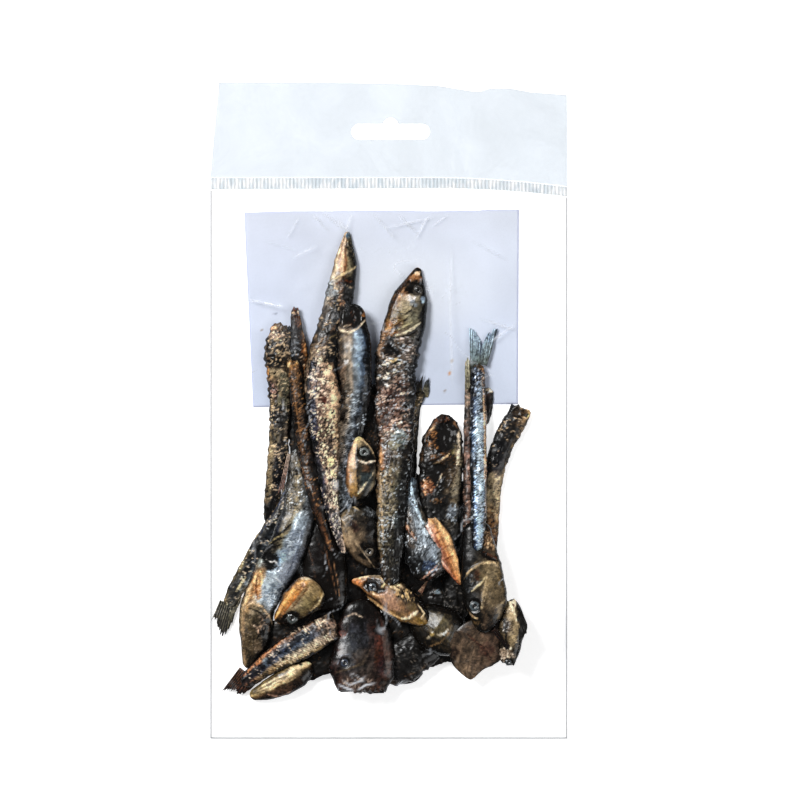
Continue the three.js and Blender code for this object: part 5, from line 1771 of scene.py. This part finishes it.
@dataclass(frozen=True)
class Films:
    """The pouch's two clear films and the welded edge round them."""

    pouch: bpy.types.Object
    raster: tuple[int, int] = (251, 138)
    front_grid: tuple[int, int] = (230, 360)
    back_grid: tuple[int, int] = (35, 54)
    edge_height: float = 0.8
    shrink: float = 0.25
    clearance: float = 0.18

    @staticmethod
    def plan(columns: int, rows: int) -> tuple[np.ndarray, np.ndarray]:
        """Even places over the pouch, mm."""
        u, v = np.meshgrid(np.linspace(-1, 1, columns), np.linspace(0, 1, rows))
        x = u * HALF_WIDTH
        return x, BOTTOM + v * (seal_foot(x) - BOTTOM)

    def cells(self, x: np.ndarray, y: np.ndarray, spare: int) -> tuple[np.ndarray, np.ndarray]:
        """The rows and columns of places on a raster of 1 mm, less some spare ones at its far edges."""
        rows, columns = self.raster
        row = np.clip((y - BOTTOM).round().astype(int), 0, rows - spare)
        return row, np.clip((x + HALF_WIDTH).round().astype(int), 0, columns - spare)

    def heights(self, fish: np.ndarray, x: np.ndarray, y: np.ndarray) -> np.ndarray:
        """The front film's heights: the CAD's, and never under the fish.

        Args:
            fish: Points on all the fish, mm.
            x: Places, mm.
            y: Places, mm.

        Returns:
            Heights, mm.
        """
        mesh = self.pouch.data
        corners = [self.pouch.matrix_world @ vertex.co / MM for vertex in mesh.vertices]
        surface = BVHTree.FromPolygons(corners, [list(face.vertices) for face in mesh.polygons])
        film = np.full(x.shape, self.edge_height)
        for index in np.ndindex(x.shape):
            px = min(max(x[index], 0.05 - HALF_WIDTH), HALF_WIDTH - 0.05)
            py = min(max(y[index], BOTTOM + 0.05), seal_foot(px) - 0.05)
            hit, *_ = surface.ray_cast(Vector((px, py, 60)), Vector((0, 0, -1)))
            if hit is not None:
                film[index] = hit.z
        tops = np.zeros(self.raster)
        np.maximum.at(tops, self.cells(fish[:, 0], fish[:, 1], spare=2), fish[:, 2])
        rows, columns = self.raster
        padded = np.pad(tops, 1)
        grown = np.max([padded[a : a + rows, b : b + columns] for a in range(3) for b in range(3)], axis=0)
        return np.maximum(film - self.shrink, grown[self.cells(x, y, spare=1)] + self.clearance)

    def front(self, fish: np.ndarray) -> bpy.types.Object:
        """Makes the front film, with its creases.

        Args:
            fish: Points on all the fish, mm.

        Returns:
            The object.
        """
        x, y = self.plan(*self.front_grid)
        z = self.heights(fish, x, y)
        inset = np.minimum(np.minimum(HALF_WIDTH - np.abs(x), y - BOTTOM), seal_foot(x) - y)
        loose = smooth(1.5, 6, inset)
        folds = np.abs(noise(x / 17 + 0.5 * noise(x / 9, y / 9, 52), y / 24, 51, 3))
        full = smooth(1.2, 5.0, z)
        z += loose * full * (0.15 * smooth(0.1, 0.0, folds) + 0.14 * noise(x / 4, y / 4, 53, 2) + 0.12)
        z += loose * (1 - full) * 0.05 * noise(x / 9, y / 9, 55, 2)
        # Painted highlights on the film: pale along the crests of its folds and along the listed creases.
        fold_highlight = 0.3 * loose * full * smooth(0.03, 0.0, folds) * smooth(0.0, 0.35, noise(x / 9, y / 9, 56))
        for points, width, amount in FILM_CREASES:
            far, share = distance_to(points, x, y)
            mask = smooth(width + 0.35, 0.05, far) * loose * smooth(0, 0.3, share) * smooth(1, 0.7, share)
            z += 0.2 * mask
            fold_highlight += amount * mask
        fold_highlight *= 1 + 0.5 * noise(x / 2.2, y / 2.2, 54, 2)
        points = np.stack([x, y, np.maximum(z, self.edge_height - 0.05)], axis=-1).reshape(-1, 3)
        fold_highlight = np.clip(fold_highlight, 0, 0.8).ravel()
        return make_object("front_film", points, grid_faces(*x.shape), {"fold_highlight": fold_highlight})

    def back(self) -> bpy.types.Object:
        """Makes the back film, flat on the floor.

        Returns:
            The object.
        """
        x, y = self.plan(*self.back_grid)
        points = np.stack([x, y, 0.03 + 0 * x], axis=-1).reshape(-1, 3)
        faces = [face[::-1] for face in grid_faces(*x.shape)]
        return make_object("back_film", points, faces, {"fold_highlight": np.zeros(len(points))})

    def weld(self) -> bpy.types.Object:
        """Makes the welded edges, which catch the light as a thin grey line.

        Returns:
            The object.
        """
        points, faces = [], []
        inner = HALF_WIDTH - WELD_WIDTH
        runs = (
            (-HALF_WIDTH, -inner, BOTTOM, float(seal_foot(-HALF_WIDTH))),
            (inner, HALF_WIDTH, BOTTOM, float(seal_foot(HALF_WIDTH))),
            (-inner, inner, BOTTOM, BOTTOM + WELD_WIDTH),
        )
        for left, right, low, high in runs:
            first = len(points)
            corners = ((left, low), (right, low), (right, high), (left, high))
            points += [(*corner, height) for height in (0.0, WELD_HEIGHT) for corner in corners]
            box = ((0, 3, 2, 1), (4, 5, 6, 7), (0, 1, 5, 4), (1, 2, 6, 5), (2, 3, 7, 6), (3, 0, 4, 7))
            faces += [tuple(first + k for k in face) for face in box]
        made = make_object("welded_edge", np.array(points), faces, {})
        made.data.shade_flat()
        return made


def add_node(tree: bpy.types.NodeTree, kind: str, settings: dict, links: dict) -> bpy.types.Node:
    """Adds a node.

    Args:
        tree: The node tree.
        kind: The node's type.
        settings: Values for its properties, and for its input sockets by name or number.
        links: Output sockets to link to its input sockets, by name or number.

    Returns:
        The node.
    """
    node = tree.nodes.new(kind)
    for name, value in settings.items():
        if str(name) in node.bl_rna.properties:
            setattr(node, name, value)
        else:
            node.inputs[name].default_value = value
    for name, socket in links.items():
        tree.links.new(socket, node.inputs[name])
    return node


class Finish:
    """What the finishes share: an empty material, and the nodes that most of them use."""

    def __init__(self, name: str) -> None:
        """Starts a material of this name."""
        self.material = bpy.data.materials.new(name)
        self.material.use_nodes = True
        self.tree = self.material.node_tree
        self.tree.nodes.clear()
        self.output = self.tree.nodes.new("ShaderNodeOutputMaterial")

    def layer(self, name: str, output: str = "Fac") -> bpy.types.NodeSocket:
        """One of the mesh's layers."""
        return add_node(self.tree, "ShaderNodeAttribute", {"attribute_name": name}, {}).outputs[output]

    def place(self) -> bpy.types.NodeSocket:
        """The place on the object."""
        return add_node(self.tree, "ShaderNodeTexCoord", {}, {}).outputs["Object"]

    def grain(
        self, place: bpy.types.NodeSocket, size: float, detail: float, twist: float = 0.0
    ) -> bpy.types.NodeSocket:
        """Noise with bumps of a size in mm."""
        settings = {"Scale": 1 / (size * MM), "Detail": detail, "Distortion": twist}
        return add_node(self.tree, "ShaderNodeTexNoise", settings, {"Vector": place}).outputs["Fac"]

    def spread(
        self, value: bpy.types.NodeSocket, before: Span, after: Span = (0.0, 1.0)
    ) -> bpy.types.NodeSocket:
        """A value taken from one range to another."""
        settings = dict(zip(("From Min", "From Max", "To Min", "To Max"), before + after))
        return add_node(self.tree, "ShaderNodeMapRange", settings, {"Value": value}).outputs["Result"]

    def scaled(self, colour: bpy.types.NodeSocket, share: bpy.types.NodeSocket) -> bpy.types.NodeSocket:
        """A colour times a number."""
        links = {0: colour, "Scale": share}
        return add_node(self.tree, "ShaderNodeVectorMath", {"operation": "SCALE"}, links).outputs["Vector"]

    def math(self, settings: dict, links: dict) -> bpy.types.NodeSocket:
        """A sum."""
        return add_node(self.tree, "ShaderNodeMath", settings, links).outputs["Value"]

    def finished(self, shader: bpy.types.NodeSocket) -> bpy.types.Material:
        """Links the shader to the output, and gives the material."""
        self.tree.links.new(shader, self.output.inputs["Surface"])
        return self.material

    def shaded(self, settings: dict, links: dict) -> bpy.types.Material:
        """Ends the material with a Principled shader."""
        return self.finished(add_node(self.tree, "ShaderNodeBsdfPrincipled", settings, links).outputs["BSDF"])


@dataclass(frozen=True)
class DriedSkin:
    """Dried fish skin: dark, oily and uneven. A thin coat of oil gives the eye its sharp small glints."""

    grain: float = 0.32
    bump: float = 0.05

    def build(self) -> bpy.types.Material:
        """Builds the material."""
        finish = Finish("dried_skin")
        place = finish.place()
        shade = finish.spread(finish.grain(place, self.grain, 2.0), (0.3, 0.7), (0.62, 1.4))
        fine = finish.grain(place, self.grain * 1.4, 3.0)
        relief = {"Strength": 0.7, "Distance": self.bump * MM}
        bump = add_node(finish.tree, "ShaderNodeBump", relief, {"Height": fine})
        return finish.shaded(
            {"IOR": 1.45, "Coat Weight": 0.12, "Coat Roughness": 0.12, "Specular IOR Level": 0.3},
            {
                "Base Color": finish.scaled(finish.layer("tint", "Color"), shade),
                "Roughness": finish.layer("rough"),
                "Metallic": finish.layer("silver"),
                "Normal": bump.outputs["Normal"],
            },
        )


@dataclass(frozen=True)
class DriedEye:
    """A dried eyeball: hard and glossy, with one clear glint."""

    roughness: float = 0.2
    coat: float = 0.7

    def build(self) -> bpy.types.Material:
        """Builds the material."""
        finish = Finish("dried_eye")
        settings = {"Roughness": self.roughness, "Coat Weight": self.coat, "Coat Roughness": 0.06}
        return finish.shaded(settings, {"Base Color": finish.layer("tint", "Color")})


@dataclass(frozen=True)
class Paper:
    """Smooth pale lavender paper: matt, with a faint fibre grain."""

    grain: float = 0.9
    uneven: float = 0.035

    def build(self) -> bpy.types.Material:
        """Builds the material."""
        finish = Finish("paper")
        fibres = finish.grain(finish.place(), self.grain, 3.0)
        shade = finish.spread(fibres, (0.0, 1.0), (1 - self.uneven, 1 + self.uneven))
        colour = finish.scaled(finish.layer("tint", "Color"), shade)
        return finish.shaded({"Roughness": 0.7}, {"Base Color": colour})


@dataclass(frozen=True)
class ClearFilm:
    """Thin clear film: seen only by its glints, and by painted highlights along its folds and creases."""

    name: str
    veil: float
    tone: str = "#f4f8ff"
    roughness: float = 0.1
    hazed: bool = True
    mottle: float = 0.0

    def build(self) -> bpy.types.Material:
        """Builds the material."""
        finish = Finish(self.name)
        settings = {"operation": "ADD", "use_clamp": True}
        more = {}
        if self.hazed:
            more = {1: finish.layer("fold_highlight")}
        elif self.mottle:
            cloud = finish.grain(finish.place(), 22, 4.0, twist=1.2)
            more = {1: finish.spread(cloud, (0.35, 0.7), (-self.mottle, self.mottle))}
        amount = finish.math({**settings, 0: self.veil, 1: 0.0}, more)
        shine = add_node(finish.tree, "ShaderNodeFresnel", {"IOR": 1.07}, {}).outputs["Fac"]
        total = finish.math(settings, {0: amount, 1: shine})
        mirror = finish.math({"operation": "DIVIDE"}, {0: shine, 1: total})
        clear = add_node(finish.tree, "ShaderNodeBsdfTransparent", {}, {}).outputs["BSDF"]
        film = add_node(
            finish.tree, "ShaderNodeBsdfPrincipled",
            {"Base Color": rgba(self.tone), "Roughness": self.roughness}, {"Metallic": mirror},
        )
        links = {0: total, 1: clear, 2: film.outputs["BSDF"]}
        return finish.finished(add_node(finish.tree, "ShaderNodeMixShader", {}, links).outputs["Shader"])


@dataclass(frozen=True)
class CrimpedSeal:
    """The crimped seal: milky film between dotted lines of darker dashes."""

    pale: str = "#ffffff"
    grey: str = "#dbe4ea"
    dash: float = 1.5
    stretch: float = 0.35

    def build(self) -> bpy.types.Material:
        """Builds the material."""
        finish = Finish("crimped_seal")
        settings = {"Scale": (1.0, self.stretch, 1.0)}
        stretched = add_node(finish.tree, "ShaderNodeMapping", settings, {"Vector": finish.place()})
        share = finish.spread(finish.grain(stretched.outputs["Vector"], self.dash, 3.0), (0.42, 0.6))
        settings = {"data_type": "RGBA", 6: rgba(self.grey), 7: rgba(self.pale)}
        tint = add_node(finish.tree, "ShaderNodeMix", settings, {"Factor": share})
        return finish.shaded({"Roughness": 0.25, "Alpha": 0.72}, {"Base Color": tint.outputs[2]})


@dataclass(frozen=True)
class PlainFloor:
    """A plain white floor."""

    tone: str = "#fdfdfd"
    glow: float = 0.62

    def build(self) -> bpy.types.Material:
        """Builds the material."""
        settings = {"Base Color": rgba(self.tone), "Roughness": 0.9, "Specular IOR Level": 0.0}
        glow = {"Emission Color": rgba(self.tone), "Emission Strength": self.glow}
        return Finish("plain_floor").shaded({**settings, **glow}, {})


@dataclass(frozen=True)
class Lamp:
    """A soft studio lamp that points at the bag."""

    name: str
    place: tuple[float, float, float]
    size: float
    power: float

    def hang(self) -> None:
        """Hangs the lamp."""
        light = bpy.data.lights.new(self.name, "AREA")
        light.size, light.energy = self.size, self.power
        lamp = bpy.data.objects.new(self.name, light)
        lamp.location = self.place
        lamp.rotation_euler = Vector(self.place).to_track_quat("Z", "Y").to_euler()
        bpy.context.scene.collection.objects.link(lamp)


@dataclass(frozen=True)
class Studio:
    """The floor, the light and the camera."""

    lamps: tuple[Lamp, ...]
    ambient: float
    view_middle: Point
    view_width: float
    distance: float = 3.0
    floor_reach: float = 2.0
    floor_drop: float = 0.0004
    sensor: float = 36.0

    def build(self) -> None:
        """Sets up the studio."""
        scene = bpy.context.scene
        scene.view_settings.view_transform = "Standard"
        world = bpy.data.worlds.new("studio")
        world.use_nodes = True
        world.node_tree.nodes["Background"].inputs["Color"].default_value = (1, 1, 1, 1)
        world.node_tree.nodes["Background"].inputs["Strength"].default_value = self.ambient
        scene.world = world
        for lamp in self.lamps:
            lamp.hang()
        signs = ((-1, -1), (1, -1), (1, 1), (-1, 1))
        corners = np.array([(x * self.floor_reach, y * self.floor_reach, -self.floor_drop) for x, y in signs])
        floor = make_object("floor", corners / MM, [(0, 1, 2, 3)], {})
        floor.data.materials.append(PlainFloor().build())
        lens = bpy.data.cameras.new("camera")
        lens.sensor_width = self.sensor
        lens.lens = self.sensor * self.distance / (self.view_width * MM)
        lens.clip_end = 20
        camera = bpy.data.objects.new("camera", lens)
        camera.location = (self.view_middle[0] * MM, self.view_middle[1] * MM, self.distance)
        scene.collection.objects.link(camera)
        scene.camera = camera


class Contents:
    """Everything that takes the place of the pouch's solid."""

    def __init__(self, pouch: bpy.types.Object) -> None:
        """Takes the solid.

        Args:
            pouch: The pouch's CAD object.
        """
        self.pouch = pouch
        self.made: list[tuple[bpy.types.Object, str, bpy.types.Material]] = []

    def fill(self) -> None:
        """Makes the fish, their fins and eyes, the card and the films."""
        skin, eye, paper = DriedSkin().build(), DriedEye().build(), Paper().build()
        film = ClearFilm("clear_film", veil=0.0005).build()
        back = ClearFilm("back_film", veil=0.001).build()
        weld = ClearFilm("film_edge", veil=0.75, tone="#c4c6c8", roughness=0.4, hazed=False).build()
        heap, ends = Heap(), {}
        for number, fish in enumerate(FISH):
            line = heap.drop(fish.spine, np.array(fish.wide), fish.flat)
            ends[fish.name] = float(line[-1])
            made, surface = FishMaker(fish, 100 + 37 * number, line).make()
            self.made.append((made, "dried_fish", skin))
            for index, mark in enumerate(mark for mark in fish.marks if isinstance(mark, Eye)):
                self.made.append((make_eye(f"{fish.name}_eye_{index}", mark, surface), "dried_fish", eye))
        maker = FinMaker(heap, ends)
        for number, fin in enumerate(FINS):
            self.made.append((maker.make(fin, 900 + 13 * number), "dried_fish", skin))
        solid = np.concatenate([self.points(piece) for piece, _, _ in self.made])
        films = Films(self.pouch)
        self.made.append((Card().make(), "backing_card", paper))
        self.made.append((films.front(solid), "clear_film", film))
        self.made.append((films.back(), "clear_film", back))
        self.made.append((films.weld(), "clear_film", weld))
        for piece, slot, material in self.made:
            piece.data.materials.append(material)
            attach(piece, "root")
            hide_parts("pouch")

    @staticmethod
    def points(piece: bpy.types.Object) -> np.ndarray:
        """A piece's points, mm."""
        flat = np.empty(len(piece.data.vertices) * 3, dtype=np.float32)
        piece.data.vertices.foreach_get("co", flat)
        return flat.reshape(-1, 3) / MM


def dress(node: bpy.types.Object, material: bpy.types.Material) -> None:
    """Gives a CAD node a better material.

    Args:
        node: The node's object.
        material: The material.
    """
    if not node.material_slots:
        node.data.materials.append(material)
    for place in node.material_slots:
        place.material = material


def main() -> None:
    """Builds the scene."""
    logging.basicConfig(level=logging.INFO, format="%(name)s: %(message)s")
    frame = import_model()
    nodes = frame["nodes"]
    Contents(nodes["pouch"]).fill()
    header = ClearFilm("header_film", veil=0.72, tone="#edf3f9", roughness=0.3, hazed=False, mottle=0.08)
    dress(nodes["header"], header.build())
    dress(nodes["seal_strip"], CrimpedSeal().build())
    Studio(
        lamps=(
            Lamp("key", (-0.72, 0.62, 1.15), 0.5, 21.0),
            Lamp("fill", (1.1, -0.5, 1.1), 0.9, 8.0),
        ),
        ambient=0.12,
        view_middle=(4.29, 4.0),
        view_width=304.8,
    ).build()


if __name__ == "__main__":
    main()
